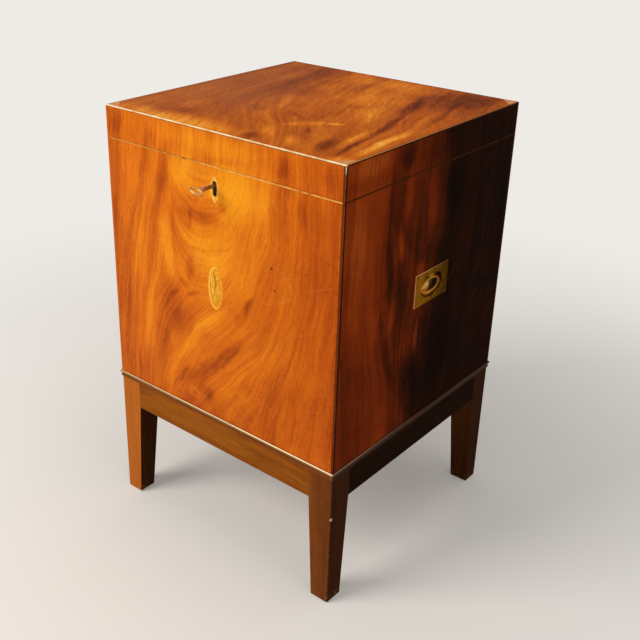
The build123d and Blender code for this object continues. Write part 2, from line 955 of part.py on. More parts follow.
def handle_plate(side):
    """Bevelled plate with an oval dish, and two lugs in the dish for the ring's pin."""
    face = handle_face(side)
    dish_floor = plate_proud - dish_depth
    lug_middle = barrel_length / 2 + lug_gap + lug_thickness / 2
    lug_reach = pivot_drop - dish_wall / 2
    thickness = plate_let_in + plate_proud
    with BuildPart() as piece:
        with BuildSketch(face.offset(-plate_let_in)) as sheet:
            Rectangle(plate_width, plate_height)
        extrude(sheet.sketch, amount=thickness)
        chamfer(piece.faces().sort_by(Axis(face.origin, face.z_dir))[-1].edges(), plate_bevel)
        dish_blank(side, 0, dish_floor - dish_wall, dish_wall)
        dish_blank(side, plate_proud, dish_floor, 0, Mode.SUBTRACT)
        floor_middle = face.from_local_coords(Vector(0, 0, dish_floor))
        fillet(piece.faces().sort_by_distance(floor_middle)[0].edges(), dish_round)
        for way in (-1, 1):
            with BuildSketch(pivot_plane(side).offset(way * lug_middle - lug_thickness / 2)) as lug:
                Circle(lug_radius)
                with Locations((0, lug_reach / 2)):
                    Rectangle(2 * lug_radius, lug_reach)
            extrude(lug.sketch, amount=lug_thickness)
        pivot_rod(side, pivot_radius + running_fit, pivot_length, Mode.SUBTRACT)
        screw_holes(handle_screw_planes(side), handle_screw_head, handle_screw_shank, thickness)
    return piece


def handle_ring(side):
    """Oval drop ring that lies in the dish, with a barrel for its pin."""
    face = handle_face(side)
    pivot_y = dish_height / 2 - pivot_drop
    middle_y = pivot_y - ring_drop - ring_height / 2
    middle = face.offset(plate_proud - pivot_depth)
    with BuildPart() as piece:
        with BuildSketch(middle) as band:
            with Locations((0, middle_y)):
                Ellipse(ring_width / 2, ring_height / 2)
                Ellipse(ring_width / 2 - ring_band, ring_height / 2 - ring_band, mode=Mode.SUBTRACT)
        extrude(band.sketch, amount=ring_thickness / 2, both=True)
        fillet(piece.edges().filter_by(GeomType.ELLIPSE), ring_round)
        with BuildSketch(middle) as neck:
            with Locations((0, pivot_y - (ring_drop + ring_band / 2) / 2)):
                Rectangle(ring_neck_width, ring_drop + ring_band / 2)
        extrude(neck.sketch, amount=ring_thickness / 2, both=True)
        pivot_rod(side, barrel_radius, barrel_length)
        pivot_rod(side, pivot_radius + running_fit, 2 * barrel_length, Mode.SUBTRACT)
    return piece


def handle_pins():
    with BuildPart() as piece:
        for side in (-1, 1):
            pivot_rod(side, pivot_radius, pivot_length)
    return piece


def handle_screws():
    with BuildPart() as piece:
        for side in (-1, 1):
            screw_set(handle_screw_planes(side), handle_screw_head, handle_screw_shank, handle_screw_length)
    return piece


# Hinges

hinge_places = (-hinge_spacing / 2, hinge_spacing / 2)


def hinge_rod(start, length, radius, mode=Mode.ADD):
    """A round bar along the hinge line from a given X."""
    with BuildSketch(Plane(origin=(start, hinge_y, seam_z), z_dir=(1, 0, 0))) as rod:
        Circle(radius)
    extrude(rod.sketch, amount=length, mode=mode)


def hinge_recesses(up):
    """Let the hinges into the top of the case or the bottom of the lid."""
    z = sorted((seam_z, seam_z + up * hinge_leaf))
    for x in hinge_places:
        span = (x - hinge_length / 2, x + hinge_length / 2)
        block(span, (inner_back, hinge_y), z, Mode.SUBTRACT)
        start = span[0] - hinge_relief
        hinge_rod(start, hinge_length + 2 * hinge_relief, knuckle_radius + hinge_relief, Mode.SUBTRACT)


def hinge_screw_planes(up):
    """Where the screws of a leaf sit, with their heads facing up or down."""
    y = (inner_back + hinge_y - knuckle_radius) / 2
    return [
        Plane(origin=(x + step * hinge_screw_spacing, y, seam_z), x_dir=(1, 0, 0), z_dir=(0, 0, up))
        for x in hinge_places
        for step in (-1, 0, 1)
    ]


def hinge_stop(start, up):
    """The lip behind the knuckles that meets the other leaf's lip when the lid is fully open."""
    way = Vector(0, cos(radians(stop_angle)), up * sin(radians(stop_angle)))
    drawing = Plane(origin=(start, hinge_y, seam_z), x_dir=way, z_dir=(up, 0, 0))
    with BuildSketch(drawing) as lip:
        with Locations(((stop_root + stop_reach) / 2, stop_thickness / 2)):
            Rectangle(stop_reach - stop_root, stop_thickness)
    extrude(lip.sketch, amount=up * hinge_length)


def hinge_leaves(up, first):
    """The two leaves on one side of the seam, with every other knuckle from the first one on."""
    z = sorted((seam_z, seam_z + up * hinge_leaf))
    knuckle = hinge_length / knuckle_count
    with BuildPart() as piece:
        for x in hinge_places:
            start = x - hinge_length / 2
            block((start, start + hinge_length), (inner_back, hinge_y), z)
            hinge_stop(start, up)
            for i in range(1 - first, knuckle_count, 2):
                low = max(start + i * knuckle - knuckle_gap, start)
                high = min(start + (i + 1) * knuckle + knuckle_gap, start + hinge_length)
                hinge_rod(low, high - low, knuckle_radius + hinge_relief, Mode.SUBTRACT)
            for i in range(first, knuckle_count, 2):
                hinge_rod(start + i * knuckle, knuckle, knuckle_radius)
            hinge_rod(start, hinge_length, hinge_pin_radius + running_fit, Mode.SUBTRACT)
        screw_holes(hinge_screw_planes(-up), hinge_screw_head, hinge_screw_shank, hinge_leaf)
    return piece


def hinge_pins():
    with BuildPart() as piece:
        for x in hinge_places:
            hinge_rod(x - hinge_length / 2, hinge_length, hinge_pin_radius)
    return piece


def hinge_screws(up):
    with BuildPart() as piece:
        screw_set(hinge_screw_planes(up), hinge_screw_head, hinge_screw_shank, hinge_screw_length)
    return piece


# Lid


def edge_string_blanks(mode=Mode.ADD):
    """The square strings round the lid's top edge, or their rebate."""
    z = (top_z - edge_string, top_z)
    gap = glue_line if mode == Mode.ADD else 0
    y = (front_y + edge_string + gap, back_y - edge_string - gap)
    block((-half_w, half_w), (front_y, front_y + edge_string), z, mode)
    block((-half_w, half_w), (back_y - edge_string, back_y), z, mode)
    block((-half_w, -half_w + edge_string), y, z, mode)
    block((half_w - edge_string, half_w), y, z, mode)


def lid_edge_strings():
    """The pale strings, with their outer arris worn round."""
    with BuildPart() as piece:
        edge_string_blanks()
        rim = (
            piece.edges()
            .group_by(Axis.Z)[-1]
            .filter_by(
                lambda e: max(abs(e.center().X) - half_w, abs(e.center().Y - mid_y) - case_depth / 2)
                > -edge_string / 4
            )
        )
        fillet(rim, edge_round)
    return piece


def lid_top():
    with BuildPart() as piece:
        block((-outer_x, outer_x), (outer_front, outer_back), (rail_top, top_z - veneer))
        edge_string_blanks(Mode.SUBTRACT)
        corner_squares(lid_side_span, Mode.SUBTRACT)
    return piece


def lid_cross_rail(wall, up_front):
    """Front or back rail of the lid, with sockets for the side rails' tails."""
    with BuildPart() as piece:
        block((-outer_x, outer_x), wall, rail_span)
        side_tails(rail_span, lid_tails, Mode.SUBTRACT)
        corner_squares(lid_side_span, Mode.SUBTRACT)
        if up_front:
            link_plate_blank(Mode.SUBTRACT)
            pilot_holes(link_screw_planes(), lock_screw_shank, hinge_screw_length)
        else:
            hinge_recesses(1)
            pilot_holes(hinge_screw_planes(-1), hinge_screw_shank, hinge_screw_length)
    return piece


def lid_side_rail(side):
    with BuildPart() as piece:
        block(side_wall[side], (inner_front, inner_back), rail_span)
        dovetails(side_wall[side], inner_front, outer_front, rail_span, lid_tails)
        dovetails(side_wall[side], inner_back, outer_back, rail_span, lid_tails)
        corner_squares(lid_side_span, Mode.SUBTRACT)
    return piece


def corner_patches(mode=Mode.ADD):
    """The three triangular patches let into the corners of the lid's top, or their seats."""
    x = half_w - edge_string
    front = front_y + edge_string
    back = back_y - edge_string
    with BuildSketch(Plane.XY.offset(top_z)) as patches:
        for corner_x, corner_y, way_x, way_y in ((-x, front, 1, 1), (x, front, -1, 1), (x, back, -1, -1)):
            with BuildLine():
                Polyline(
                    (corner_x, corner_y),
                    (corner_x + way_x * patch_leg, corner_y),
                    (corner_x, corner_y + way_y * patch_leg),
                    close=True,
                )
            make_face()
    extrude(patches.sketch, amount=-veneer, mode=mode)


def lid_top_veneer():
    x = half_w - edge_string
    y = (front_y + edge_string, back_y - edge_string)
    with BuildPart() as piece:
        block((-x, x), y, (top_z - veneer, top_z))
        corner_patches(Mode.SUBTRACT)
    return piece


def lid_corner_patches():
    with BuildPart() as piece:
        corner_patches()
    return piece


def lid_cross_veneer(y, hinged):
    x = (-half_w + corner_string, half_w - corner_string)
    with BuildPart() as piece:
        block(x, y, lid_side_span)
        if hinged:
            hinge_recesses(1)
    return piece


# Build and write every piece

for end_name, end in (("front", -1), ("back", 1)):
    for side_name, side in (("left", -1), ("right", 1)):
        save(leg(side, end), f"leg_{end_name}_{side_name}")
save(cross_apron(front_y, 1), "apron_front")
save(cross_apron(back_y, -1), "apron_back")
save(stand_moulding(), "stand_moulding")

save(case_front(), "case_front_board")
save(case_back(), "case_back_board")
save(case_bottom(), "case_bottom_board")
save(fore_aft_dividers(), "dividers_fore_aft")
save(cross_dividers(), "dividers_cross")
save(case_front_veneer(), "case_front_veneer")
save(case_back_veneer(), "case_back_veneer")
save(corner_strings(case_span), "case_corner_strings")
save(case_rim_strings(), "case_rim_strings")
save(escutcheon(), "escutcheon")
save(patera_rim(), "patera_border")
save(patera_ground(), "patera_ground")
save(patera_leaves(), "patera_leaves")

save(lock_plate(), "lock_plate")
save(lock_pan(), "lock_pan")
save(lock_bolt(), "lock_bolt")
save(lock_drill_pin(), "lock_drill_pin")
save(lock_spring(), "lock_spring")
save(lock_screws(), "lock_screws")
save(link_plate(), "link_plate")
save(link_plate_screws(), "link_plate_screws")
save(key(), "key")

save(handle_pins(), "handle_pins")
save(handle_screws(), "handle_screws")

save(hinge_leaves(-1, 0), "hinge_case_leaves")
save(hinge_leaves(1, 1), "hinge_lid_leaves")
save(hinge_pins(), "hinge_pins")
save(hinge_screws(1), "hinge_case_screws")
save(hinge_screws(-1), "hinge_lid_screws")

save(lid_top(), "lid_top_board")
save(lid_cross_rail(front_wall, True), "lid_front_rail")
save(lid_cross_rail(back_wall, False), "lid_back_rail")
save(lid_top_veneer(), "lid_top_veneer")
save(lid_corner_patches(), "lid_corner_patches")
save(lid_cross_veneer((front_y, outer_front), False), "lid_front_veneer")
save(lid_cross_veneer((outer_back, back_y), True), "lid_back_veneer")
save(lid_edge_strings(), "lid_edge_strings")
save(corner_strings(lid_side_span), "lid_corner_strings")

for side_name, side in (("left", -1), ("right", 1)):
    save(side_apron(side), f"apron_{side_name}")
    save(case_side(side), f"case_{side_name}_board")
    save(side_veneer(side, (stand_height, seam_z - rim_string), True), f"case_{side_name}_veneer")
    save(handle_plate(side), f"handle_plate_{side_name}")
    save(handle_ring(side), f"handle_ring_{side_name}")
    save(lid_side_rail(side), f"lid_{side_name}_rail")
    save(side_veneer(side, lid_side_span, False), f"lid_{side_name}_veneer")
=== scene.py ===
"""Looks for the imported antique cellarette: camera, soft studio light and procedural materials."""

import math

import bpy
from mathutils import Matrix, Vector


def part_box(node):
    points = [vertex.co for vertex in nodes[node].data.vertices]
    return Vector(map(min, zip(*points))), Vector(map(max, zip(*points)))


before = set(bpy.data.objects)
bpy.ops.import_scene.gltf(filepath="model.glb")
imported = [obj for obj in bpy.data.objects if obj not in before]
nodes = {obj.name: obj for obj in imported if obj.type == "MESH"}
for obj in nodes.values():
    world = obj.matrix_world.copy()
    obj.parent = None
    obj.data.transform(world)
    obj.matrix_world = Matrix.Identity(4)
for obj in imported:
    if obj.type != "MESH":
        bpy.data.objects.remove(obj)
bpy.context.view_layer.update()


# Camera, at the photograph's viewing angle

IMAGE_SIDE = 640
FOCAL_PIXELS = 947.19
CENTRE_PIXEL = (269.59, 287.81)
YAW, PITCH, ROLL = 0.70980, -0.43229, 0.01088
EYE = Vector((0.83993, -1.05627, 0.99586))
NEAR_CLIP = 0.02


def make_camera():
    camera = bpy.data.cameras.new("camera")
    holder = bpy.data.objects.new("camera", camera)
    bpy.context.scene.collection.objects.link(holder)
    bpy.context.scene.camera = holder
    camera.lens = camera.sensor_width * FOCAL_PIXELS / IMAGE_SIDE
    camera.shift_x = 0.5 - CENTRE_PIXEL[0] / IMAGE_SIDE
    camera.shift_y = CENTRE_PIXEL[1] / IMAGE_SIDE - 0.5
    camera.clip_start = NEAR_CLIP
    turn = Matrix.Rotation(YAW, 3, "Z")
    forward = turn @ Matrix.Rotation(PITCH, 3, "X") @ Vector((0, 1, 0))
    level = turn @ Vector((1, 0, 0))
    above = level.cross(forward)
    right = math.cos(ROLL) * level + math.sin(ROLL) * above
    up = math.cos(ROLL) * above - math.sin(ROLL) * level
    axes = Matrix((right, up, -forward)).transposed()
    holder.matrix_world = Matrix.Translation(EYE) @ axes.to_4x4()


make_camera()


# Sizes read from the frame, in metres

HALF_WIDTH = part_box("case_right_veneer")[1].x
WIDTH = 2 * HALF_WIDTH
EDGE_LOW, EDGE_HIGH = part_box("lid_edge_strings")
FRONT = EDGE_LOW.y
BACK = EDGE_HIGH.y
TOP = EDGE_HIGH.z
MIDDLE = (FRONT + BACK) / 2
HALF_DEPTH = (BACK - FRONT) / 2
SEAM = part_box("case_back_veneer")[1].z
STAND_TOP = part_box("stand_moulding")[1].z
PLATE_LOW, PLATE_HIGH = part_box("handle_plate_right")
PATERA_LOW, PATERA_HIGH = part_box("patera_border")


# How strongly a rubbed and a dull polish reflect, and the tint of what they reflect

POLISH = 0.06
DULL_POLISH = 0.003
AMBER = (1.0, 0.72, 0.48)

# Full depth of each surface's relief, in metres

VENEER_RELIEF = 0.00009
WOOD_RELIEF = 0.00012
MOULDING_RELIEF = 0.0001
STRING_RELIEF = 0.00006
INLAY_RELIEF = 0.00004
BRASS_RELIEF = 0.00008
METAL_RELIEF = 0.0001

# Shares of a polished wood's relief: the polish's level, and how far pores and scratches sink in it

LEVEL = 0.7
PORE_SINK = 0.5
SCRATCH_SINK = 0.4

# Spans of a noise over which a pore and a scratch begin, and a scratch's size in metres

OPEN_PORES = (0.64, 0.74)
SCRATCHES = (0.72, 0.77)
SCRATCH_SIZE = (0.0019, 0.07, 0.07)

# The value of a blob, 0 at its edge and 1 in its middle, at which a painted mark is at full strength

FULL_STROKE = 0.85


# Shader arithmetic


def linear(red, green, blue):
    """A colour written as it should look, 0 to 255, as Blender's linear values."""
    values = []
    for channel in (red, green, blue):
        share = channel / 255
        values.append(share / 12.92 if share <= 0.04045 else ((share + 0.055) / 1.055) ** 2.4)
    return (*values, 1.0)


def as_color(value):
    """Turns a written colour to linear values, and leaves a socket or a field as it is."""
    return linear(*value) if isinstance(value, tuple) else value


def scaled(color, share):
    return tuple(channel * share for channel in color)


def connect(tree, value, slot):
    """Feeds an input with a field, another node's output, or a plain value."""
    if isinstance(value, Field):
        value = value.socket
    if isinstance(value, bpy.types.NodeSocket):
        tree.links.new(value, slot)
    else:
        slot.default_value = value


def add_node(tree, kind, inputs, **settings):
    """Adds a node with its settings, and feeds its inputs, each by name or number."""
    node = tree.nodes.new(kind)
    for name, value in settings.items():
        setattr(node, name, value)
    for name, value in inputs.items():
        connect(tree, value, node.inputs[name])
    return node


class Field:
    """A number that varies over a surface, for arithmetic in a material's node tree."""

    def __init__(self, tree, socket):
        self.tree = tree
        self.socket = socket

    def op(self, operation, *others, clamp=False):
        inputs = dict(enumerate((self, *others)))
        node = add_node(self.tree, "ShaderNodeMath", inputs, operation=operation, use_clamp=clamp)
        return Field(self.tree, node.outputs[0])

    def __add__(self, other):
        return self.op("ADD", other)

    def __sub__(self, other):
        return self.op("SUBTRACT", other)

    def __mul__(self, other):
        return self.op("MULTIPLY", other)

    def __truediv__(self, other):
        return self.op("DIVIDE", other)

    __radd__ = __add__
    __rmul__ = __mul__

    def __rsub__(self, other):
        return (self * -1.0) + other

    def abs(self):
        return self.op("ABSOLUTE")

    def power(self, exponent):
        return self.op("POWER", exponent)

    def clamp(self):
        return self.op("ADD", 0.0, clamp=True)

    def swing(self, amount):
        """A noise about its middle value, times an amount."""
        return (self - 0.5) * amount

    def smooth(self, low, high, out_low=0.0, out_high=1.0):
        """A smooth step from one value to another between low and high."""
        inputs = {"Value": self, "From Min": low, "From Max": high, "To Min": out_low, "To Max": out_high}
        node = add_node(self.tree, "ShaderNodeMapRange", inputs, interpolation_type="SMOOTHSTEP")
        return Field(self.tree, node.outputs["Result"])

    def fade(self, low, high):
        """Falls smoothly from 1 at low to 0 at high."""
        return self.smooth(low, high, 1.0, 0.0)

    def band(self, rise, fall):
        """Rises smoothly from 0 to 1 over one span, and falls back to 0 over a later one."""
        return self.smooth(*rise) * self.fade(*fall)

    def hump(self, centre, reach):
        """1 at a value, falling smoothly to 0 a reach away on either side."""
        return (self - centre).abs().fade(0.0, reach)


class Finish:
    """One material, with helpers that add nodes to it and wire them."""

    def __init__(self, name):
        self.material = bpy.data.materials.new(name)
        self.material.use_nodes = True
        self.tree = self.material.node_tree
        self.tree.nodes.clear()
        self.source = self.add("ShaderNodeTexCoord", {})
        self.place = self.source.outputs["Object"]
        split = self.add("ShaderNodeSeparateXYZ", {0: self.place})
        self.x, self.y, self.z = (Field(self.tree, output) for output in split.outputs)

    def add(self, kind, inputs, **settings):
        return add_node(self.tree, kind, inputs, **settings)

    def sideways(self):
        """1 on faces that look to the left or the right, 0 on the others."""
        split = self.add("ShaderNodeSeparateXYZ", {0: self.source.outputs["Normal"]})
        return Field(self.tree, split.outputs[0]).abs().smooth(0.55, 0.8)

    def vector(self, x=0.0, y=0.0, z=0.0):
        return self.add("ShaderNodeCombineXYZ", {"X": x, "Y": y, "Z": z}).outputs[0]

    def noise(self, vector, scale=1.0, detail=3.0, roughness=0.55):
        inputs = {"Vector": vector, "Scale": scale, "Detail": detail, "Roughness": roughness}
        return Field(self.tree, self.add("ShaderNodeTexNoise", inputs).outputs["Fac"])

    def streaks(self, across, along, density, seed, detail=4.0, roughness=0.65):
        """Noise over two coordinates, with its density across and along."""
        vector = self.vector(across * density[0], along * density[1], seed)
        return self.noise(vector, detail=detail, roughness=roughness)

    def blob(self, vector, centre, reach, angle=0.0):
        """1 at a centre, falling to 0 at an ellipse round it, turned by degrees in the vector's plane."""
        mapping = self.add("ShaderNodeMapping", {
            "Vector": vector,
            "Location": (*centre, 0),
            "Rotation": (0, 0, math.radians(angle)),
            "Scale": (*reach, 1),
        }, vector_type="TEXTURE")
        ball = self.add("ShaderNodeTexGradient", {0: mapping.outputs[0]}, gradient_type="SPHERICAL")
        return Field(self.tree, ball.outputs["Fac"])

    def strokes(self, vector, marks, gain=1.0, start=0.0):
        """Adds soft elliptical marks, each (centre, reach, angle, amount), to a starting value."""
        total = start
        for centre, reach, angle, amount in marks:
            mark = self.blob(vector, centre, reach, angle).smooth(0.0, FULL_STROKE)
            total = mark.op("MULTIPLY_ADD", amount * gain, total)
        return total

    def curve(self, field, points):
        """A smooth curve through (input, output) points, both from 0 to 1."""
        node = self.add("ShaderNodeFloatCurve", {"Value": field})
        line = node.mapping.curves[0]
        while len(line.points) < len(points):
            line.points.new(0.5, 0.5)
        for point, place in zip(line.points, points):
            point.location = place
        node.mapping.update()
        return Field(self.tree, node.outputs["Value"])

    def grain_lines(self, across, down, guides):
        """A coordinate that stays the same along grain lines, which run between guide lines.

        Each guide is (value, points), with points (down, across) on the line, or one number for a
        straight edge. The first guide's value is 0.
        """
        lines = []
        for value, line in guides:
            lines.append((value, line if isinstance(line, float) else self.curve(down, line)))
        total = 0.0
        for (low_value, low), (high_value, high) in zip(lines, lines[1:]):
            total = ((across - low) / (high - low)).clamp() * (high_value - low_value) + total
        return total

    def ramp(self, field, stops):
        node = self.add("ShaderNodeValToRGB", {0: field})
        elements = node.color_ramp.elements
        while len(elements) < len(stops):
            elements.new(1.0)
        for element, (position, color) in zip(elements, stops):
            element.position = position
            element.color = linear(*color)
        return node.outputs[0]

    def mix(self, factor, first, second, blend="MIX"):
        """Blends two colours, each a socket, a field or a written colour."""
        node = self.add("ShaderNodeMix", {}, data_type="RGBA", blend_type=blend)
        slots = {slot.identifier: slot for slot in node.inputs}
        connect(self.tree, factor, slots["Factor_Float"])
        connect(self.tree, as_color(first), slots["A_Color"])
        connect(self.tree, as_color(second), slots["B_Color"])
        return next(slot for slot in node.outputs if slot.identifier == "Result_Color")

    def finish(self, color, roughness, height=None, relief=0.0, metallic=0.0, specular=0.5, tint=(1, 1, 1)):
        """Wires the shader. Height is a field from 0 to 1 and relief its real size in metres."""
        shader = self.add("ShaderNodeBsdfPrincipled", {
            "Base Color": as_color(color),
            "Roughness": roughness,
            "Metallic": metallic,
            "Specular IOR Level": specular,
            "Specular Tint": (*tint, 1.0),
        })
        if height is not None:
            bump = self.add("ShaderNodeBump", {"Strength": 1.0, "Distance": relief, "Height": height})
            connect(self.tree, bump.outputs[0], shader.inputs["Normal"])
        self.add("ShaderNodeOutputMaterial", {"Surface": shader.outputs[0]})
        return self.material

    def scuffs(self, scale=1.0):
        """Thin random scratches, 1 on a scratch and 0 elsewhere. Their planes are parallel to no face."""
        total = 0.0
        for angle, seed in ((30, 0.0), (-40, 7.3), (55, 3.1)):
            mapping = self.add("ShaderNodeMapping", {
                "Vector": self.place,
                "Location": (seed, seed, seed),
                "Rotation": (math.radians(angle),) * 3,
                "Scale": tuple(size / scale for size in SCRATCH_SIZE),
            }, vector_type="TEXTURE")
            total = self.noise(mapping.outputs[0], detail=1.0).smooth(*SCRATCHES).op("MAXIMUM", total)
        return total


# Places on the case, as shares of its width unless metres are named


def from_left(finish):
    return finish.x / WIDTH + 0.5


def from_front(finish):
    return (finish.y - FRONT) / WIDTH


def from_top(finish):
    return (TOP - finish.z) / WIDTH


def past_faces(finish):
    """How far a point lies past the sides, and past the front or the back, in metres, negative within."""
    return finish.x.abs() - HALF_WIDTH, (finish.y - MIDDLE).abs() - HALF_DEPTH


def from_arris(finish):
    """Distance from the case's nearest vertical outer edge, in metres."""
    past_side, past_front = past_faces(finish)
    return past_side.abs() + past_front.abs()


def from_patera(finish):
    """Place across and up from the middle of the patera, in metres."""
    middle = (PATERA_LOW + PATERA_HIGH) / 2
    return finish.x - middle.x, finish.z - middle.z


# Figured veneers

# Their tables give places as shares of the case's width. A grain table holds guides for grain_lines,
# markings hold marks for strokes, and tones are the colours of a ramp.


def shade_grain(finish, base, across, along, darkening):
    """Darkens a veneer by fine streaks, silk and open pores, by the three shares of darkening.

    The grain runs along one coordinate. Returns the colour, the silk and the pores.
    """
    across = across * WIDTH
    along = along * WIDTH
    fine = finish.streaks(across, along, (420.0, 11.0), seed=0.0, detail=4.0, roughness=0.6)
    silk = finish.streaks(across, along, (1500.0, 70.0), seed=4.0, detail=2.0, roughness=0.55)
    holes = finish.streaks(across, along, (1700.0, 110.0), seed=9.0, detail=1.0, roughness=0.55)
    pores = holes.smooth(*OPEN_PORES)
    by_fine, by_silk, by_pores = darkening
    shade = (1.0 - fine.swing(by_fine) - silk.swing(by_silk) - pores * by_pores).clamp()
    return finish.mix(1.0, base, shade, "MULTIPLY"), silk, pores


def polish_veneer(finish, base, silk, pores, scuff, roughness, polish, silk_rise=0.15, dirt=None,
                  dirt_rise=0.3, dirt_dulls=0.12):
    """Wires a veneer's shader: pores and scratches sink in the polish, silk and dirt stand on it."""
    height = LEVEL - pores * PORE_SINK - scuff * SCRATCH_SINK + silk.swing(silk_rise)
    if dirt is not None:
        height = height + dirt.swing(dirt_rise)
        roughness = roughness + dirt.swing(dirt_dulls)
    roughness = roughness + scuff * 0.2
    return finish.finish(base, roughness, height, VENEER_RELIEF, specular=polish, tint=AMBER)


# The front's grain drops steep from the top, sweeps to the left below the oval and fans out to the right

FRONT_GRAIN = (
    (0.00, -0.06),
    (0.18, ((0.0, 0.205), (0.13, 0.183), (0.27, 0.154), (0.39, 0.120), (0.53, 0.085), (0.68, 0.056),
            (1.0, 0.030))),
    (0.28, ((0.0, 0.285), (0.15, 0.275), (0.25, 0.260), (0.36, 0.235), (0.49, 0.205), (0.63, 0.170),
            (0.75, 0.150), (1.0, 0.130))),
    (0.66, ((0.0, 0.720), (0.18, 0.715), (0.32, 0.695), (0.44, 0.645), (0.54, 0.580), (0.62, 0.500),
            (0.70, 0.410), (0.77, 0.355), (0.85, 0.305), (1.0, 0.250))),
    (0.76, ((0.0, 0.800), (0.20, 0.800), (0.36, 0.790), (0.50, 0.765), (0.63, 0.720), (0.72, 0.660),
            (0.83, 0.560), (1.0, 0.400))),
    (0.84, ((0.0, 0.850), (0.20, 0.850), (0.44, 0.845), (0.63, 0.790), (0.78, 0.740), (1.0, 0.670))),
    (1.00, 1.06),
)

FRONT_MARKINGS = (
    # Golden fan
    ((0.34, 0.16), (0.10, 0.10), 0, 0.26),
    ((0.55, 0.15), (0.30, 0.13), 0, 0.18),
    ((0.60, 0.24), (0.12, 0.20), 20, 0.24),
    ((0.50, 0.39), (0.20, 0.12), 6, 0.20),
    ((0.42, 0.04), (0.26, 0.05), 0, 0.16),
    ((0.62, 0.045), (0.10, 0.05), 0, 0.14),
    ((0.28, 0.44), (0.045, 0.16), -4, 0.26),
    ((0.175, 0.70), (0.035, 0.20), 6, 0.20),
    ((0.155, 0.40), (0.020, 0.28), 8, 0.14),
    ((0.49, 0.50), (0.12, 0.16), 20, 0.14),
    ((0.69, 0.27), (0.030, 0.24), 10, 0.16),
    # Bright arc that runs down to the left, and the curl and the knot under it
    ((0.63, 0.47), (0.055, 0.14), 32, 0.12),
    ((0.46, 0.66), (0.15, 0.045), -38, 0.24),
    ((0.36, 0.78), (0.13, 0.034), -52, 0.22),
    ((0.275, 0.92), (0.035, 0.16), 14, 0.22),
    ((0.62, 0.74), (0.17, 0.040), -50, 0.16),
    ((0.52, 0.88), (0.09, 0.07), 0, 0.14),
    ((0.385, 0.955), (0.040, 0.034), 0, 0.34),
    ((0.385, 0.955), (0.018, 0.014), 0, -0.34),
    # Brown patches on the left
    ((0.040, 0.05), (0.05, 0.07), 0, -0.34),
    ((0.180, 0.16), (0.030, 0.14), 8, -0.22),
    ((0.150, 0.32), (0.018, 0.20), 10, -0.16),
    ((0.268, 0.18), (0.042, 0.14), 10, -0.40),
    ((0.225, 0.36), (0.032, 0.22), 8, -0.26),
    ((0.185, 0.52), (0.020, 0.20), 8, -0.18),
    ((0.090, 0.55), (0.022, 0.34), 7, -0.18),
    ((0.055, 0.78), (0.030, 0.30), 3, -0.16),
    ((0.290, 0.64), (0.075, 0.14), 0, -0.34),
    ((0.350, 0.69), (0.100, 0.07), -40, -0.26),
    ((0.235, 0.80), (0.060, 0.18), 6, -0.30),
    ((0.100, 0.93), (0.14, 0.12), 0, -0.14),
    # Dark curls in the fan
    ((0.310, 0.38), (0.014, 0.17), 0, -0.22),
    ((0.385, 0.30), (0.014, 0.060), 0, -0.26),
    ((0.430, 0.29), (0.14, 0.030), 0, -0.26),
    ((0.535, 0.24), (0.035, 0.030), 0, -0.26),
    ((0.380, 0.49), (0.030, 0.070), 10, -0.28),
    ((0.345, 0.54), (0.040, 0.018), 30, -0.30),
    ((0.385, 0.57), (0.055, 0.011), -22, -0.34),
    ((0.300, 0.59), (0.045, 0.014), -34, -0.22),
    ((0.420, 0.405), (0.070, 0.012), -6, -0.16),
    ((0.520, 0.385), (0.080, 0.010), -18, -0.16),
    # The dark sweep and the marks along it
    ((0.640, 0.545), (0.024, 0.060), 32, -0.42),
    ((0.600, 0.60), (0.020, 0.050), 36, -0.20),
    ((0.545, 0.755), (0.15, 0.032), -47, -0.42),
    ((0.440, 0.845), (0.13, 0.045), -46, -0.36),
    ((0.355, 0.895), (0.085, 0.036), -50, -0.30),
    ((0.460, 0.94), (0.045, 0.040), 0, -0.26),
    ((0.690, 0.50), (0.016, 0.16), 24, -0.18),
    ((0.735, 0.66), (0.014, 0.22), 24, -0.14),
    ((0.745, 0.80), (0.018, 0.20), 18, -0.22),
    ((0.640, 0.85), (0.030, 0.05), 30, -0.20),
    # Redder and darker to the right
    ((0.850, 0.18), (0.030, 0.08), 0, -0.26),
    ((0.770, 0.12), (0.050, 0.20), 4, -0.18),
    ((0.690, 0.30), (0.016, 0.10), 12, -0.20),
    ((0.900, 0.40), (0.11, 0.60), 2, -0.22),
    ((0.980, 0.50), (0.06, 0.80), 0, -0.28),
    ((0.840, 0.86), (0.26, 0.20), 0, -0.22),
    # Darker round the left and bottom edges
    ((0.030, 0.50), (0.12, 0.90), 0, -0.24),
    ((0.45, 1.03), (0.60, 0.22), 0, -0.32),
    # Lid front
    ((0.775, 0.050), (0.030, 0.060), 10, -0.30),
    ((0.945, 0.050), (0.035, 0.060), 6, -0.30),
    ((0.220, 0.075), (0.035, 0.050), 25, -0.20),
    ((0.500, 0.095), (0.12, 0.020), -6, -0.14),
)

FRONT_TONES = (
    (0.00, (138, 54, 8)),
    (0.22, (180, 80, 10)),
    (0.45, (210, 104, 14)),
    (0.66, (230, 127, 19)),
    (0.85, (243, 150, 27)),
    (1.00, (250, 172, 46)),
)

FRONT_GOLD = (
    ((0.38, 0.15), (0.16, 0.10), 0, 0.60),
    ((0.58, 0.18), (0.16, 0.16), 20, 0.75),
    ((0.48, 0.42), (0.20, 0.16), 6, 0.45),
    ((0.28, 0.46), (0.05, 0.16), 0, 0.45),
    ((0.44, 0.67), (0.16, 0.05), -38, 0.30),
    ((0.50, 0.04), (0.30, 0.05), 0, 0.35),
)

# Old marks on the front: two filled holes, scratches and dents

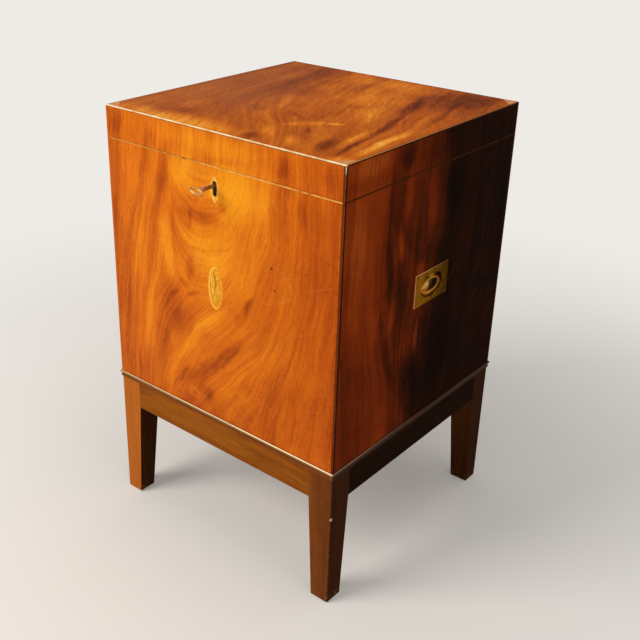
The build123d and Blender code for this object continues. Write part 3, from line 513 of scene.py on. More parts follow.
FRONT_DAMAGE = (
    ((0.737, 0.383), (0.0068, 0.0068), 0, 1.00),
    ((0.751, 0.453), (0.0056, 0.0066), 0, 0.85),
    ((0.955, 0.305), (0.026, 0.0022), 18, 0.70),
    ((0.952, 0.395), (0.014, 0.0020), 30, 0.60),
    ((0.870, 0.365), (0.003, 0.010), 0, 0.50),
    ((0.735, 0.455), (0.0020, 0.016), 0, 0.35),
    ((0.800, 0.130), (0.002, 0.030), 4, 0.35),
    ((0.945, 0.730), (0.012, 0.0022), 12, 0.45),
    ((0.245, 0.800), (0.010, 0.0050), 0, 0.40),
    ((0.030, 0.262), (0.006, 0.0040), 0, -0.6),
)


def front_material():
    """Orange flame veneer, with grain that bends round a crotch of flat curls under the key."""
    finish = Finish("front_flame_veneer")
    u = from_left(finish)
    v = from_top(finish)
    drift = finish.noise(finish.vector(u, v, 2.0), scale=4.0, detail=4.0, roughness=0.62)
    ripple = finish.noise(finish.vector(u, v, 6.0), scale=17.0, detail=3.0)
    uw = u + drift.swing(0.045) + ripple.swing(0.014)
    vw = v + drift.swing(0.040)
    line = finish.grain_lines(uw, vw, FRONT_GRAIN)

    # The crotch under the key: flat-bottomed curls that open upwards
    from_heart = uw - 0.46
    curl = vw + from_heart.abs().power(3.0) * 34.0 + from_heart * 0.16
    heart = (u - 0.475 + drift.swing(0.12)).abs().fade(0.13, 0.24)
    heart = heart * vw.fade(0.52, 0.66) * vw.smooth(0.10, 0.16)

    broad = finish.streaks(line, vw, (17.0, 1.2), seed=1.0, detail=3.0, roughness=0.62)
    streak = finish.streaks(line, vw, (64.0, 2.2), seed=3.0)
    hair = finish.streaks(line, vw, (240.0, 7.0), seed=5.0, detail=3.0, roughness=0.6)
    straight = broad.swing(0.62) + streak.swing(0.62) + hair.swing(0.50)
    wave = finish.streaks(curl, uw, (19.0, 3.5), seed=7.0)
    wisp = finish.streaks(curl, uw, (75.0, 7.0), seed=8.0)
    curled = wave.swing(0.62) + wisp.swing(0.56) + hair.swing(0.24)
    mottle = finish.streaks(u, v, (9.0, 9.0), seed=9.0)
    fleck = finish.streaks(line, vw, (110.0, 46.0), seed=10.0, detail=3.0, roughness=0.6)
    tone = straight * (1.0 - heart) + curled * heart + mottle.swing(0.26) + fleck.swing(0.22) + 0.49

    place = finish.vector(uw, vw)
    tone = finish.strokes(place, FRONT_MARKINGS, gain=0.72, start=tone)
    base = finish.ramp(tone.clamp(), FRONT_TONES)
    base = finish.mix(u.smooth(0.55, 1.0) * 0.30, base, (180, 68, 8))
    gold = finish.strokes(place, FRONT_GOLD).clamp()
    base = finish.mix(gold * tone.smooth(0.30, 0.75) * 0.75, base, (248, 166, 26))
    base, silk, pores = shade_grain(finish, base, line, v, darkening=(0.52, 0.30, 0.30))

    # Old marks, and dirt along the edges
    marks = finish.strokes(finish.vector(u, v), FRONT_DAMAGE)
    dirt = finish.noise(finish.vector(u, v, 1.0), scale=60.0, detail=4.0)
    edge = (u - 0.5).abs().smooth(0.475, 0.497) + v.smooth(1.003, 1.026)
    edge = edge + (finish.z - SEAM).abs().fade(0.0004, 0.004) * 0.5
    grime = (edge * dirt.smooth(0.35, 0.7) * 0.5 + marks).clamp()
    base = finish.mix(grime, base, (60, 24, 10))
    scuff = finish.scuffs()
    base = finish.mix(scuff * 0.10, base, (245, 190, 120))
    return polish_veneer(finish, base, silk, pores, scuff, roughness=0.32, polish=POLISH, dirt=dirt,
                         dirt_rise=0.25, dirt_dulls=0.10)


# The sides, measured back from the front and down from the top

SIDE_GRAIN = (
    (0.00, -0.05),
    (0.24, ((0.0, 0.235), (0.12, 0.217), (0.45, 0.197), (0.63, 0.217), (0.79, 0.257), (1.0, 0.290))),
    (0.50, ((0.0, 0.500), (0.45, 0.500), (0.60, 0.465), (0.75, 0.440), (1.0, 0.420))),
    (1.00, 1.05),
)

SIDE_MARKINGS = (
    # Orange and red lights
    ((0.12, 0.03), (0.16, 0.06), 0, 0.22),
    ((0.08, 0.30), (0.10, 0.40), 0, 0.10),
    ((0.33, 0.17), (0.035, 0.14), 2, 0.26),
    ((0.305, 0.32), (0.022, 0.10), -4, 0.32),
    ((0.47, 0.23), (0.045, 0.17), -3, 0.28),
    ((0.43, 0.45), (0.040, 0.05), 0, 0.24),
    ((0.435, 0.70), (0.018, 0.10), 0, 0.26),
    ((0.27, 0.57), (0.030, 0.08), 0, 0.18),
    ((0.42, 0.90), (0.030, 0.10), -8, 0.16),
    ((0.74, 0.40), (0.030, 0.46), 0, 0.08),
    # Dark streaks and patches
    ((0.235, 0.16), (0.022, 0.18), 0, -0.20),
    ((0.250, 0.40), (0.030, 0.18), -6, -0.24),
    ((0.215, 0.58), (0.018, 0.10), -4, -0.16),
    ((0.320, 0.50), (0.050, 0.14), 0, -0.16),
    ((0.100, 0.85), (0.22, 0.50), 0, -0.16),
    ((0.275, 0.74), (0.030, 0.16), -16, -0.18),
    ((0.410, 0.86), (0.090, 0.18), -10, -0.28),
    ((0.31, 0.05), (0.05, 0.05), 0, -0.18),
    ((0.400, 0.36), (0.030, 0.12), 0, -0.16),
    ((0.60, 0.20), (0.10, 0.14), 0, -0.16),
    ((0.83, 0.22), (0.035, 0.05), 0, -0.14),
    ((0.60, 0.80), (0.14, 0.20), 0, -0.12),
    ((0.95, 0.35), (0.05, 0.40), 0, -0.10),
)

SIDE_TONES = (
    (0.00, (26, 13, 8)),
    (0.22, (48, 22, 11)),
    (0.45, (92, 36, 13)),
    (0.68, (138, 52, 17)),
    (0.85, (166, 68, 22)),
    (1.00, (196, 92, 32)),
)


def side_material():
    """Shared by both sides. Only the right side is darkened over its back half, a painted shade, and the left
    has other noise.
    """
    finish = Finish("side_veneer")
    p = from_front(finish)
    v = from_top(finish)
    hand = finish.x.smooth(-0.1, 0.1, 5.0, 0.0)
    # 1 on the right side, the only side given painted shade over its back half
    stain_and_shade = finish.x.smooth(-0.1, 0.1)
    drift = finish.noise(finish.vector(p, v, hand), scale=3.2, detail=4.0, roughness=0.6)
    ripple = finish.noise(finish.vector(p, v, hand + 3.0), scale=15.0, detail=3.0)
    pw = p + drift.swing(0.050) + ripple.swing(0.012)
    line = finish.grain_lines(pw, v, SIDE_GRAIN)
    ribbon = finish.streaks(line, v, (17.0, 1.0), seed=hand + 1.0, detail=3.0, roughness=0.62)
    streak = finish.streaks(line, v, (66.0, 2.2), seed=hand + 3.0)
    hair = finish.streaks(line, v, (250.0, 8.0), seed=hand + 4.0, detail=3.0)
    cloud = finish.streaks(p, v, (6.0, 6.0), seed=hand + 5.0)
    tone = ribbon.swing(0.42) + streak.swing(0.40) + hair.swing(0.30) + cloud.swing(0.42)
    # The right side's back half darkened: painted shade
    tone = tone + line.smooth(0.20, 0.30, 0.74, 0.50) + line.smooth(0.42, 0.60, 0.0, -0.38) * stain_and_shade
    tone = finish.strokes(finish.vector(pw, v), SIDE_MARKINGS, start=tone)
    base = finish.ramp(tone.clamp(), SIDE_TONES)
    base, silk, pores = shade_grain(finish, base, line, v, darkening=(0.40, 0.26, 0.35))
    dirt = finish.noise(finish.vector(p, v, hand), scale=55.0, detail=4.0)
    scuff = finish.scuffs()
    base = finish.mix(scuff * 0.10, base, (170, 110, 70))
    return polish_veneer(finish, base, silk, pores, scuff, roughness=0.50, polish=DULL_POLISH, dirt=dirt)


# The back

BACK_TONES = (
    (0.00, (52, 22, 12)),
    (0.40, (98, 42, 18)),
    (0.70, (132, 60, 24)),
    (1.00, (165, 84, 36)),
)


def back_material():
    """A plain brown veneer, seen only from behind."""
    finish = Finish("back_veneer")
    u = from_left(finish)
    v = from_top(finish)
    drift = finish.noise(finish.vector(u, v, 21.0), scale=2.2, detail=3.0)
    uw = u + drift.swing(0.10) + v * 0.06
    ribbon = finish.streaks(uw, v, (13.0, 0.9), seed=21.0, detail=3.0, roughness=0.6)
    streak = finish.streaks(uw, v, (55.0, 2.2), seed=23.0)
    tone = 0.46 + ribbon.swing(0.7) + streak.swing(0.5)
    base = finish.ramp(tone.clamp(), BACK_TONES)
    base, silk, pores = shade_grain(finish, base, uw, v, darkening=(0.30, 0.20, 0.30))
    scuff = finish.scuffs()
    return polish_veneer(finish, base, silk, pores, scuff, roughness=0.46, polish=POLISH, silk_rise=0.2)


# The top, measured from the left and forward from the back

TOP_GRAIN = (
    (0.00, -0.10),
    (0.14, ((0.0, 0.10), (0.5, 0.13), (1.0, 0.20))),
    (0.30, ((0.0, 0.250), (0.38, 0.309), (0.53, 0.350), (0.69, 0.445), (0.81, 0.568), (1.0, 0.720))),
    (0.75, ((0.0, 0.680), (0.28, 0.745), (0.43, 0.800), (0.57, 0.855), (0.75, 0.895), (1.0, 0.935))),
    (0.88, ((0.0, 0.850), (0.39, 0.936), (0.66, 0.964), (1.0, 0.992))),
    (1.00, 1.12),
)

TOP_MARKINGS = (
    # Orange lights
    ((0.40, 0.08), (0.08, 0.16), -34, 0.26),
    ((0.52, 0.08), (0.12, 0.12), 0, 0.20),
    ((0.62, 0.10), (0.12, 0.16), -20, 0.26),
    ((0.54, 0.20), (0.06, 0.06), 0, 0.14),
    ((0.60, 0.30), (0.16, 0.16), -30, 0.30),
    ((0.70, 0.48), (0.08, 0.20), -24, 0.30),
    ((0.40, 0.52), (0.030, 0.20), -30, 0.22),
    ((0.64, 0.73), (0.11, 0.040), -42, 0.26),
    ((0.72, 0.665), (0.05, 0.020), -30, 0.34),
    ((0.32, 0.95), (0.40, 0.09), 0, 0.42),
    ((0.60, 0.86), (0.12, 0.035), 40, 0.20),
    ((0.74, 0.90), (0.10, 0.05), 36, 0.24),
    ((0.86, 0.76), (0.024, 0.15), -12, 0.36),
    ((0.95, 0.72), (0.026, 0.28), -6, 0.46),
    ((0.97, 0.96), (0.08, 0.05), 0, 0.30),
    ((0.90, 0.46), (0.020, 0.16), -12, 0.20),
    ((0.06, 0.60), (0.05, 0.40), 0, 0.10),
    ((0.20, 0.78), (0.05, 0.10), 0, 0.12),
    # Dark streaks and clouds
    ((0.27, 0.38), (0.11, 0.24), -24, -0.20),
    ((0.23, 0.14), (0.08, 0.26), -8, -0.22),
    ((0.40, 0.40), (0.08, 0.12), 0, -0.12),
    ((0.20, 0.88), (0.16, 0.08), 0, -0.16),
    ((0.765, 0.30), (0.035, 0.22), -16, -0.40),
    ((0.845, 0.56), (0.022, 0.24), -14, -0.42),
    ((0.905, 0.84), (0.014, 0.16), -8, -0.32),
    ((0.905, 0.34), (0.018, 0.24), -12, -0.26),
    ((0.84, 0.14), (0.14, 0.22), 0, -0.42),
    ((0.94, 0.10), (0.05, 0.14), 0, -0.14),
    ((0.60, 0.935), (0.06, 0.045), 30, -0.34),
    ((0.835, 0.87), (0.036, 0.10), -16, -0.34),
    ((0.55, 0.66), (0.09, 0.020), 24, -0.16),
    ((0.70, 0.78), (0.05, 0.014), 44, -0.18),
    ((0.40, 0.68), (0.05, 0.08), -36, -0.14),
    ((0.64, 0.44), (0.05, 0.05), 0, -0.12),
)

TOP_TONES = (
    (0.00, (96, 38, 8)),
    (0.25, (142, 62, 14)),
    (0.45, (182, 88, 21)),
    (0.66, (213, 114, 26)),
    (0.86, (238, 152, 46)),
    (1.00, (250, 184, 84)),
)

# Patches of a pale veil over the top: painted reflection of its sheen
TOP_PAINTED_SHEEN = (
    ((0.08, 0.50), (0.34, 0.80), 0, 0.85),
    ((0.34, 0.60), (0.20, 0.40), 0, 0.45),
)


def top_material():
    """Figured veneer that sweeps from the back left to the front right, under a pale veil of painted
    reflection.
    """
    finish = Finish("top_veneer")
    u = from_left(finish)
    w = (BACK - finish.y) / WIDTH
    drift = finish.noise(finish.vector(u, w, 11.0), scale=3.6, detail=4.0, roughness=0.62)
    ripple = finish.noise(finish.vector(u, w, 16.0), scale=16.0, detail=3.0)
    uw = u + drift.swing(0.070) + ripple.swing(0.016)
    ww = w + drift.swing(0.050)
    line = finish.grain_lines(uw, ww, TOP_GRAIN)
    broad = finish.streaks(line, ww, (15.0, 1.6), seed=12.0, detail=3.0, roughness=0.62)
    streak = finish.streaks(line, ww, (56.0, 3.0), seed=13.0)
    hair = finish.streaks(line, ww, (230.0, 9.0), seed=14.0, detail=3.0)
    cloud = finish.noise(finish.vector(u, w, 15.0), scale=6.0, detail=4.0, roughness=0.65)
    slant = finish.streaks(u - w * 0.8, u + w, (60.0, 7.0), seed=17.0)
    tone = ww.smooth(0.0, 0.8, 0.42, 0.49) + broad.swing(0.50) + streak.swing(0.50) + hair.swing(0.46)
    tone = tone + cloud.swing(0.34) + slant.swing(0.36)
    place = finish.vector(uw, ww)
    tone = finish.strokes(place, TOP_MARKINGS, gain=0.85, start=tone)
    base = finish.ramp(tone.clamp(), TOP_TONES)
    # A pale veil painted over the colour: painted reflection
    painted_sheen = finish.strokes(place, TOP_PAINTED_SHEEN, start=(cloud - 0.45) * 0.5).clamp()
    base = finish.mix(painted_sheen * 0.50, base, (138, 84, 58))
    base, silk, pores = shade_grain(finish, base, line, w, darkening=(0.28, 0.18, 0.24))
    dirt = finish.noise(finish.vector(u, w, 3.0), scale=50.0, detail=4.0)
    scuff = finish.scuffs(0.8)
    base = finish.mix(scuff * 0.14, base, (230, 180, 140))
    return polish_veneer(finish, base, silk, pores, scuff, roughness=0.40, polish=DULL_POLISH, dirt=dirt)


# Plain woods, strings and inlays


def wood_material(name, dark, light, grain, roughness, polish=POLISH, sides=None, worn=None):
    """A straight-grained wood.

    Sides are the two darker colours of faces towards the sides, where they differ, as painted shade. Such a
    wood is also brighter to the left and darker to the right, as painted light and shade.
    """
    finish = Finish(name)
    axes = {"x": finish.x, "y": finish.y, "z": finish.z}
    along = axes.pop(grain)
    drift = finish.noise(finish.place, scale=9.0, detail=3.0).swing(0.02)
    across, deep = (axis + drift for axis in axes.values())

    def drawn_out(density, length_density, **kind):
        return finish.noise(finish.vector(across * density, deep * density, along * length_density), **kind)

    broad = drawn_out(56.0, 4.0, detail=3.0, roughness=0.6)
    streak = drawn_out(190.0, 8.0, detail=4.0, roughness=0.65)
    fine = drawn_out(900.0, 40.0, detail=2.0)
    pores = drawn_out(1500.0, 100.0, detail=1.0).smooth(*OPEN_PORES)
    blot = finish.noise(finish.place, scale=28.0, detail=4.0, roughness=0.65)
    tone = (0.5 + broad.swing(1.5) + streak.swing(0.9) + fine.swing(0.35) + blot.swing(0.5)).clamp()
    base = finish.mix(tone, dark, light)
    if sides:
        # Painted light to the left; painted shade on the side faces and to the right
        base = finish.mix(finish.x.smooth(-HALF_WIDTH, 0.0, 0.40, 0.0), base, scaled(light, 1.33))
        base = finish.mix(finish.sideways(), base, finish.mix(tone, *sides))
        base = finish.mix(finish.x.smooth(0.05, HALF_WIDTH) * 0.48, base, sides[1])
    base = finish.mix(pores * 0.35, base, scaled(dark, 0.45))
    dirt = finish.noise(finish.place, scale=130.0, detail=4.0)
    height = LEVEL - pores * PORE_SINK + fine.swing(0.3) + dirt.swing(0.3)
    if worn:
        mask, color = worn(finish, dirt)
        base = finish.mix(mask, base, color)
        height = height - mask * 0.3
    return finish.finish(base, roughness + dirt.swing(0.14), height, WOOD_RELIEF, specular=polish, tint=AMBER)


def leg_wear(finish, dirt):
    """Rubbed outer arrises, scuffed and dusty feet, and one pale chip on the front right leg."""
    arris = from_arris(finish).fade(0.0006, 0.0034)
    foot = finish.z.fade(0.0, 0.022)
    mask = (arris * dirt.smooth(0.42, 0.66) * 0.45 + foot * dirt.smooth(0.48, 0.66) * 0.6).clamp()
    chip_place, chip_size = (0.002, 0.150), (0.0026, 0.0036)
    chip = finish.blob(finish.vector(finish.y - FRONT, finish.z), chip_place, chip_size).smooth(0.1, 0.5)
    chip = chip * finish.x.smooth(HALF_WIDTH - 0.004, HALF_WIDTH - 0.002)
    return (mask + chip).clamp(), finish.mix(chip, (150, 98, 56), (225, 215, 200))


def moulding_material():
    """Painted highlights on the nose's rubbed top and on the bead, brown below; painted shade in the groove,
    cove and sides.
    """
    finish = Finish("moulding_wood")
    past_side, past_front = past_faces(finish)
    dirt = finish.noise(finish.place, scale=150.0, detail=4.0)
    vector = finish.vector(finish.x * 18.0, finish.y * 18.0, finish.z * 300.0)
    along = finish.noise(vector, detail=4.0, roughness=0.6)
    below = STAND_TOP - finish.z
    nose = below.fade(0.0013, 0.0019) * past_side.op("MAXIMUM", past_front).smooth(0.0006, 0.0013)
    groove = below.band((0.0016, 0.0020), (0.0030, 0.0034))
    bead_highlight = below.band((0.0032, 0.0036), (0.0043, 0.0047))
    cove = below.band((0.0044, 0.0048), (0.0064, 0.0076))
    side = (past_side - 0.0005).smooth(0.0, 0.0003)
    behind = from_front(finish).clamp()
    base = finish.mix(along, (96, 50, 22), (150, 84, 34))
    # Side faces darker: painted shade
    base = finish.mix(side, base, finish.mix(along, (34, 18, 11), (58, 32, 18)))
    # Groove and cove darker: painted shade
    hollow_shade = (groove + cove * 0.6).clamp()
    base = finish.mix(hollow_shade * (1.0 - side * 0.5) * 0.75, base, (52, 28, 12))
    # A pale line on the bead: painted highlight
    base = finish.mix(bead_highlight * (1.0 - side) * along.smooth(0.25, 0.50, 0.60, 1.0), base, (232, 170, 98))
    # The nose's pale colour, brighter to the right and duller on the sides: painted highlight
    pale = finish.mix(finish.x.smooth(-HALF_WIDTH, HALF_WIDTH * 0.6), (216, 176, 132), (255, 232, 186))
    pale = finish.mix(side, pale, (196, 166, 138))
    # The nose's pale line: partly rubbed wear, partly painted highlight, fading back along the sides
    worn = nose * along.smooth(0.20, 0.48, 0.55, 1.0) * (1.0 - side * behind.smooth(0.0, 0.6, 0.45, 0.97))
    base = finish.mix(worn, base, pale)
    height = along * 0.5 + dirt * 0.4
    return finish.finish(base, 0.42 + dirt.swing(0.2), height, MOULDING_RELIEF, specular=POLISH, tint=AMBER)


def string_material(name, clean, dirty, dirt_share, shading):
    """Boxwood or dyed stringing, with dirt in its joints."""
    finish = Finish(name)
    vector = finish.vector(finish.x * 60.0, finish.y * 60.0, finish.z * 60.0)
    along = finish.noise(vector, detail=4.0, roughness=0.65)
    fine = finish.noise(finish.place, scale=700.0, detail=3.0)
    mask = (along.smooth(0.5 - dirt_share, 0.95 - dirt_share) + fine.swing(0.5)).clamp()
    base = shading(finish, finish.mix(mask, clean, dirty), along)
    roughness = 0.42 + fine.swing(0.2)
    return finish.finish(base, roughness, fine, STRING_RELIEF, specular=DULL_POLISH, tint=AMBER)


def edge_shading(finish, base, along):
    """Front's top edge pale boxwood with a painted highlight, over a dark glue line; the sides get painted
    highlight and shade.
    """
    below = TOP - finish.z
    behind = from_front(finish).clamp()
    front = (finish.y - FRONT).fade(0.0022, 0.0034)
    # Below its top millimetre the front is darker, leaving a bright top that is partly a painted highlight
    base = finish.mix(below.smooth(0.0009, 0.0015) * 0.85, base, (120, 66, 26))
    # A thin pale line along the sides' top, fading towards the back: painted highlight
    outside = (HALF_WIDTH - finish.x.abs()).fade(0.0008, 0.0016)
    line = outside * behind.smooth(0.0, 0.8, 0.95, 0.35) * below.fade(0.0004, 0.0008)
    side = finish.mix(line, (96, 46, 20), (214, 150, 86))
    # Side faces darker: painted shade
    side = finish.mix(finish.sideways() * below.smooth(0.0004, 0.0008), side, (48, 22, 12))
    base = finish.mix(1.0 - front, base, side)
    glue = below.smooth(0.0017, 0.0021)
    nick = along.smooth(0.68, 0.74)
    return finish.mix((glue * 0.85 + nick * 0.7).clamp(), base, (58, 26, 12))


def rim_shading(finish, base, along):
    """The string under the lid is pale at the front, brightest at the right, nearly lost at the sides."""
    front = (finish.y - FRONT).fade(0.002, 0.004)
    left = finish.x.fade(-0.12, 0.06)
    base = finish.mix(left * 0.55, base, (176, 104, 38))
    base = finish.mix((1.0 - front) * 0.96, base, (58, 24, 11))
    return finish.mix(along.smooth(0.60, 0.74) * 0.7, base, (110, 54, 20))


def corner_shading(finish, base, along):
    """Only the front right corner shows a dark string with a rubbed arris, its front faces lighter as painted
    light; the others match their veneer.
    """
    sideways = finish.sideways()
    down = TOP - finish.z
    behind = finish.y - MIDDLE
    # Faces towards the front lighter: painted light
    base = finish.mix((1.0 - sideways) * 0.75, base, (118, 50, 15))
    arris = from_arris(finish).fade(0.0002, 0.0014)
    rubbed = arris * along.smooth(0.34, 0.60) * down.smooth(0.02, 0.26, 1.0, 0.25)
    base = finish.mix(rubbed * 0.6, base, (146, 86, 56))
    chipped = arris * down.fade(0.004, 0.014) * along.smooth(0.40, 0.50)
    base = finish.mix(chipped, base, (250, 236, 214))
    front_tone = finish.mix(along, (170, 76, 18), (214, 110, 26))
    back_tone = finish.mix(along, (84, 36, 16), (120, 54, 22))
    side_tone = finish.mix(along, (66, 28, 12), (100, 42, 17))
    plain = finish.mix(behind.smooth(0.0, 0.1), front_tone, back_tone)
    plain = finish.mix(sideways, plain, side_tone)
    shown = finish.x.smooth(0.0, 0.1) * behind.fade(-0.1, 0.0)
    return finish.mix(1.0 - shown, base, plain)


def patch_material():
    """Lighter wood of the triangular patches in the lid's corners."""
    finish = Finish("corner_patch")
    fine = finish.noise(finish.vector(finish.x * 300.0, finish.y * 30.0), detail=4.0)
    blot = finish.noise(finish.place, scale=70.0, detail=3.0)
    base = finish.mix((fine * 0.6 + blot * 0.5).clamp(), (168, 88, 34), (232, 156, 74))
    return finish.finish(base, 0.38, fine, STRING_RELIEF, specular=POLISH, tint=AMBER)


def inlay_material(name, dark, light, shading):
    """Fine-grained pale wood, shaded by a given function."""
    finish = Finish(name)
    fine = finish.noise(finish.vector(finish.x * 900.0, finish.y, finish.z * 90.0), detail=3.0)
    blot = finish.noise(finish.place, scale=160.0, detail=3.0)
    base = shading(finish, finish.mix((fine * 0.5 + blot * 0.5).smooth(0.3, 0.7), dark, light))
    return finish.finish(base, 0.36, fine, INLAY_RELIEF, specular=POLISH, tint=AMBER)


def stalk_shading(finish, base):
    """A brown scorched vein down the middle of the patera's upper half."""
    across, rise = from_patera(finish)
    grain = finish.noise(finish.place, scale=420.0)
    bend = rise.hump(0.006, 0.010) * 0.0016
    stalk = (across - bend).hump(-0.0010, 0.0028) * rise.band((-0.006, 0.003), (0.016, 0.024))
    return finish.mix(stalk * grain.smooth(0.26, 0.52) * 0.85, base, (150, 70, 12))


def leaf_shading(finish, base):
    """Leaves scorched brown along the middle, greener at the lower right."""
    across, rise = from_patera(finish)
    green = across.smooth(0.000, 0.004) * rise.fade(-0.010, -0.002)
    return finish.mix(green * 0.45, stalk_shading(finish, base), (176, 132, 30))


def border_shading(finish, base):
    """The border catches the light along its left."""
    across = from_patera(finish)[0]
    return finish.mix(across.smooth(-0.006, 0.006, 0.85, 0.0), base, (255, 214, 96))


def escutcheon_shading(finish, base):
    """Dark glue lines round the keyhole and the pale inlay."""
    grime = finish.noise(finish.place, scale=400.0, detail=3.0).smooth(0.5, 0.75)
    return finish.mix(grime * 0.35, base, (150, 88, 24))


# Metals


def brass_material(name, clean, dull):
    """Dull, handled brass, brown and less metallic in the dishes, with painted highlights and painted shade.
    """
    finish = Finish(name)
    cast = finish.noise(finish.place, scale=260.0, detail=4.0, roughness=0.6)
    stain = finish.noise(finish.place, scale=70.0, detail=3.0)
    brush = finish.noise(finish.vector(finish.x * 2500.0, finish.y * 120.0, finish.z * 2500.0), detail=2.0)
    middle = (PLATE_LOW + PLATE_HIGH) / 2
    half = (PLATE_HIGH - PLATE_LOW) / 2
    along = finish.y - middle.y
    rise = finish.z - middle.z
    inside = (half.y - along.abs()).op("MINIMUM", half.z - rise.abs())
    depth = (HALF_WIDTH - finish.x.abs()).smooth(-0.0004, 0.0050)
    # A bright gleam low in the dish: painted highlight
    gleam_place, gleam_size, gleam_turn = (-0.005, -0.004), (0.013, 0.018), 20
    painted_gleam = finish.blob(finish.vector(along, rise), gleam_place, gleam_size, gleam_turn)
    painted_gleam = painted_gleam.smooth(0.0, 0.5) * depth
    # Tarnish from stains and the dish's depth, minus the painted gleam, then darker towards the back and top:
    # painted shade
    tarnish_and_shade = stain.smooth(0.36, 0.66) * 0.50 + depth * 0.10 - painted_gleam * 1.1
    tarnish_and_shade = tarnish_and_shade + along.smooth(-0.024, half.y) * 0.8 + rise.smooth(0.0, half.z) * 0.15
    base = finish.mix(tarnish_and_shade.clamp(), clean, dull)
    base = finish.mix(cast.smooth(0.60, 0.75) * 0.5, base, (58, 34, 10))
    # Bevelled edges lighter, most towards the front: partly rubbed wear, partly painted highlight
    edge = inside.abs().fade(0.0004, 0.0014) * (1.0 - depth) * stain.smooth(0.2, 0.5, 0.5, 1.0)
    base = finish.mix(edge * along.smooth(-half.y, half.y, 0.80, 0.10), base, (196, 146, 88))
    base = finish.mix(painted_gleam.clamp(), base, (255, 196, 90))
    roughness = 0.34 + tarnish_and_shade * 0.16 + brush.swing(0.14)
    height = cast * 0.6 + brush * 0.4
    return finish.finish(base, roughness, height, BRASS_RELIEF, metallic=1.0 - depth * 0.6, tint=AMBER)


def stained_metal(finish, stain_scale, stain_share):
    """The cast texture of old iron or steel, and how stained it is, from 0 to 1."""
    cast = finish.noise(finish.place, scale=420.0, detail=4.0, roughness=0.6)
    stain = finish.noise(finish.place, scale=stain_scale, detail=3.0)
    return cast, (stain.smooth(0.35, 0.65) * stain_share + (cast - 0.4) * 0.5).clamp()


def iron_material():
    """Dark stained iron of the bolt, the drill pin and the spring."""
    finish = Finish("lock_iron")
    cast, stain_and_shade = stained_metal(finish, 120.0, 0.7)
    base = finish.mix(stain_and_shade, (120, 112, 104), (66, 52, 42))
    return finish.finish(base, 0.5 + cast.swing(0.25), cast, METAL_RELIEF, metallic=0.85)


def key_material():
    """Steel gone brown in the shank, its bow rubbed to a pale brassy sheen."""
    finish = Finish("key_metal")
    cast, stain_and_shade = stained_metal(finish, 150.0, 0.6)
    bow = (finish.y - FRONT).fade(-0.030, -0.022)
    shank = finish.mix(stain_and_shade, (158, 118, 94), (92, 60, 44))
    pale = finish.mix(stain_and_shade, (216, 166, 90), (150, 98, 46))
    base = finish.mix(bow, shank, pale)
    return finish.finish(base, 0.46 + cast.swing(0.25), cast, METAL_RELIEF, metallic=0.55)


# Give every node its finish

CARCASE = ((112, 58, 30), (164, 98, 56))
DIVIDER = ((122, 68, 36), (176, 110, 64))
# Darker colours of the legs' side faces: painted shade
LEG_SHADED_SIDES = ((38, 21, 13), (74, 40, 22))

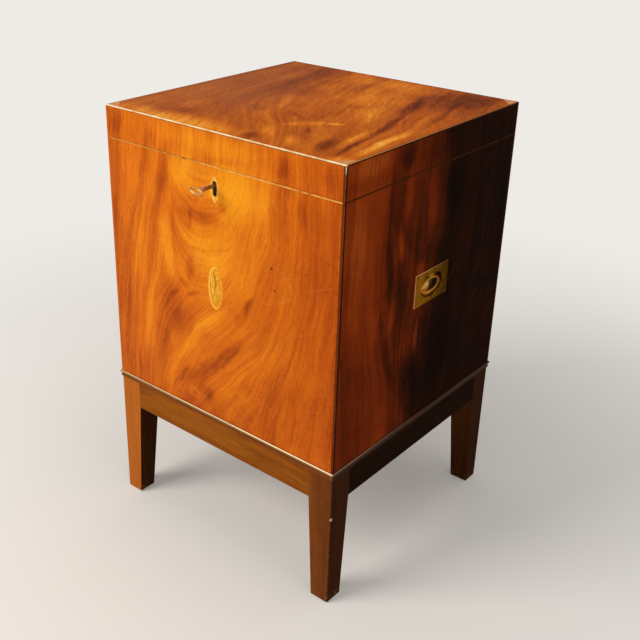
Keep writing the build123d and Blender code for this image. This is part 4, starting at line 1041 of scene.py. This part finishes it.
finishes = (
    (front_material(), ("case_front_veneer", "lid_front_veneer")),
    (side_material(), ("case_left_veneer", "case_right_veneer", "lid_left_veneer", "lid_right_veneer")),
    (back_material(), ("case_back_veneer", "lid_back_veneer")),
    (top_material(), ("lid_top_veneer",)),
    (patch_material(), ("lid_corner_patches",)),
    (
        wood_material("carcase_x", *CARCASE, grain="x", roughness=0.6),
        ("case_front_board", "case_back_board", "case_bottom_board", "lid_top_board", "lid_front_rail",
         "lid_back_rail"),
    ),
    (
        wood_material("carcase_y", *CARCASE, grain="y", roughness=0.6),
        ("case_left_board", "case_right_board", "lid_left_rail", "lid_right_rail"),
    ),
    (wood_material("divider_x", *DIVIDER, grain="x", roughness=0.62), ("dividers_cross",)),
    (wood_material("divider_y", *DIVIDER, grain="y", roughness=0.62), ("dividers_fore_aft",)),
    (
        wood_material("apron_front", (112, 58, 18), (168, 96, 30), grain="x", roughness=0.42,
                      polish=DULL_POLISH, worn=leg_wear),
        ("apron_front", "apron_back"),
    ),
    # Side aprons in very dark colours: painted shade
    (
        wood_material("apron_side_shaded", (22, 12, 8), (46, 26, 14), grain="y", roughness=0.48,
                      polish=DULL_POLISH, worn=leg_wear),
        ("apron_left", "apron_right"),
    ),
    (
        wood_material("leg_wood", (112, 58, 22), (168, 94, 36), grain="z", roughness=0.42,
                      polish=DULL_POLISH, sides=LEG_SHADED_SIDES, worn=leg_wear),
        ("leg_front_left", "leg_front_right"),
    ),
    # Back legs in darker colours: painted shade
    (
        wood_material("leg_wood_shaded_behind", (58, 33, 15), (98, 56, 24), grain="z", roughness=0.46,
                      polish=DULL_POLISH, sides=LEG_SHADED_SIDES, worn=leg_wear),
        ("leg_back_left", "leg_back_right"),
    ),
    (moulding_material(), ("stand_moulding",)),
    (
        string_material("edge_string", (255, 232, 188), (222, 164, 96), dirt_share=0.16,
                        shading=edge_shading),
        ("lid_edge_strings",),
    ),
    (
        string_material("rim_string", (242, 184, 92), (196, 124, 48), dirt_share=0.14, shading=rim_shading),
        ("case_rim_strings",),
    ),
    (
        string_material("corner_string", (54, 22, 11), (86, 36, 15), dirt_share=0.10, shading=corner_shading),
        ("case_corner_strings", "lid_corner_strings"),
    ),
    (
        inlay_material("escutcheon_wood", (228, 154, 38), (255, 206, 84), escutcheon_shading),
        ("escutcheon",),
    ),
    (
        inlay_material("patera_border_wood", (222, 142, 34), (242, 178, 66), border_shading),
        ("patera_border",),
    ),
    (
        inlay_material("patera_ground_wood", (212, 126, 16), (236, 164, 40), stalk_shading),
        ("patera_ground",),
    ),
    (
        inlay_material("patera_leaf_wood", (214, 132, 24), (250, 192, 70), leaf_shading),
        ("patera_leaves",),
    ),
    (
        brass_material("aged_brass", (140, 91, 22), (62, 38, 12)),
        ("handle_plate_left", "handle_plate_right", "handle_pins", "handle_screws", "hinge_case_leaves",
         "hinge_lid_leaves", "hinge_pins", "hinge_case_screws", "hinge_lid_screws", "lock_plate", "lock_pan",
         "lock_screws", "link_plate", "link_plate_screws"),
    ),
    (
        brass_material("rubbed_brass", (176, 122, 44), (120, 78, 24)),
        ("handle_ring_left", "handle_ring_right"),
    ),
    (iron_material(), ("lock_bolt", "lock_drill_pin", "lock_spring")),
    (key_material(), ("key",)),
)
for material, names in finishes:
    for name in names:
        mesh = nodes[name].data
        mesh.materials.clear()
        mesh.materials.append(material)


# Stage: a plain pale floor and soft studio light

FLOOR = (243, 240, 235)
FLOOR_REACH = 14.0
BACKDROP = (238, 235, 230)
AIR_LIGHT = (1.0, 0.97, 0.93)
AIR_STRENGTH = 0.19
LIT_POINT = Vector((0.0, MIDDLE, 0.4))

# Each lamp's place, the side of its square in metres, its power in watts and its colour

LAMPS = {
    "key_light": ((-1.3, -2.4, 2.1), 1.6, 78.0, (1.0, 0.96, 0.90)),
    "top_light": ((0.2, 0.2, 3.0), 2.0, 22.0, (1.0, 0.97, 0.93)),
    "fill_light": ((2.6, -0.6, 1.5), 1.8, 7.0, (1.0, 0.97, 0.95)),
}


def seen_directly(tree):
    """1 for rays from the camera, and for those that reflect or pass through; 0 for light that spreads."""
    path = add_node(tree, "ShaderNodeLightPath", {})
    direct = Field(tree, path.outputs["Is Camera Ray"])
    for ray in ("Is Glossy Ray", "Is Transmission Ray"):
        direct = direct.op("MAXIMUM", Field(tree, path.outputs[ray]))
    return direct


def blend_shaders(tree, share, lit, pale, output):
    blend = add_node(tree, "ShaderNodeMixShader", {"Fac": share, 1: lit.outputs[0], 2: pale.outputs[0]})
    connect(tree, blend.outputs[0], output.inputs["Surface"])


def make_floor():
    """A floor lit by the lamps near the object, that fades into the backdrop's colour further out."""
    corners = [(-1, -1), (1, -1), (1, 1), (-1, 1)]
    mesh = bpy.data.meshes.new("floor")
    mesh.from_pydata([(x * FLOOR_REACH, y * FLOOR_REACH, 0) for x, y in corners], [], [(0, 1, 2, 3)])
    floor = bpy.data.objects.new("floor", mesh)
    bpy.context.scene.collection.objects.link(floor)
    finish = Finish("floor")
    behind = finish.y - MIDDLE
    distance = (finish.x * finish.x + behind * behind).power(0.5)
    material = finish.finish(FLOOR, 0.8, specular=0.1)
    tree = material.node_tree
    pale = add_node(tree, "ShaderNodeEmission", {"Color": linear(*BACKDROP)})
    share = seen_directly(tree) * distance.smooth(0.35, 1.5, 0.22, 1.0)
    blend_shaders(tree, share, tree.nodes["Principled BSDF"], pale, tree.nodes["Material Output"])
    mesh.materials.append(material)


def make_lamp(name, place, side, power, color):
    light = bpy.data.lights.new(name, "AREA")
    light.shape = "RECTANGLE"
    light.size = side
    light.size_y = side
    light.energy = power
    light.color = color
    lamp = bpy.data.objects.new(name, light)
    lamp.location = place
    lamp.rotation_euler = (LIT_POINT - Vector(place)).to_track_quat("-Z", "Y").to_euler()
    bpy.context.scene.collection.objects.link(lamp)


def make_world():
    """Soft light all round, behind a pale backdrop."""
    world = bpy.data.worlds.new("studio")
    bpy.context.scene.world = world
    world.use_nodes = True
    tree = world.node_tree
    tree.nodes.clear()
    light = add_node(tree, "ShaderNodeBackground", {"Color": (*AIR_LIGHT, 1.0), "Strength": AIR_STRENGTH})
    pale = add_node(tree, "ShaderNodeBackground", {"Color": linear(*BACKDROP)})
    blend_shaders(tree, seen_directly(tree), light, pale, add_node(tree, "ShaderNodeOutputWorld", {}))


make_floor()
for name, settings in LAMPS.items():
    make_lamp(name, *settings)
make_world()
bpy.context.scene.view_settings.view_transform = "Standard"
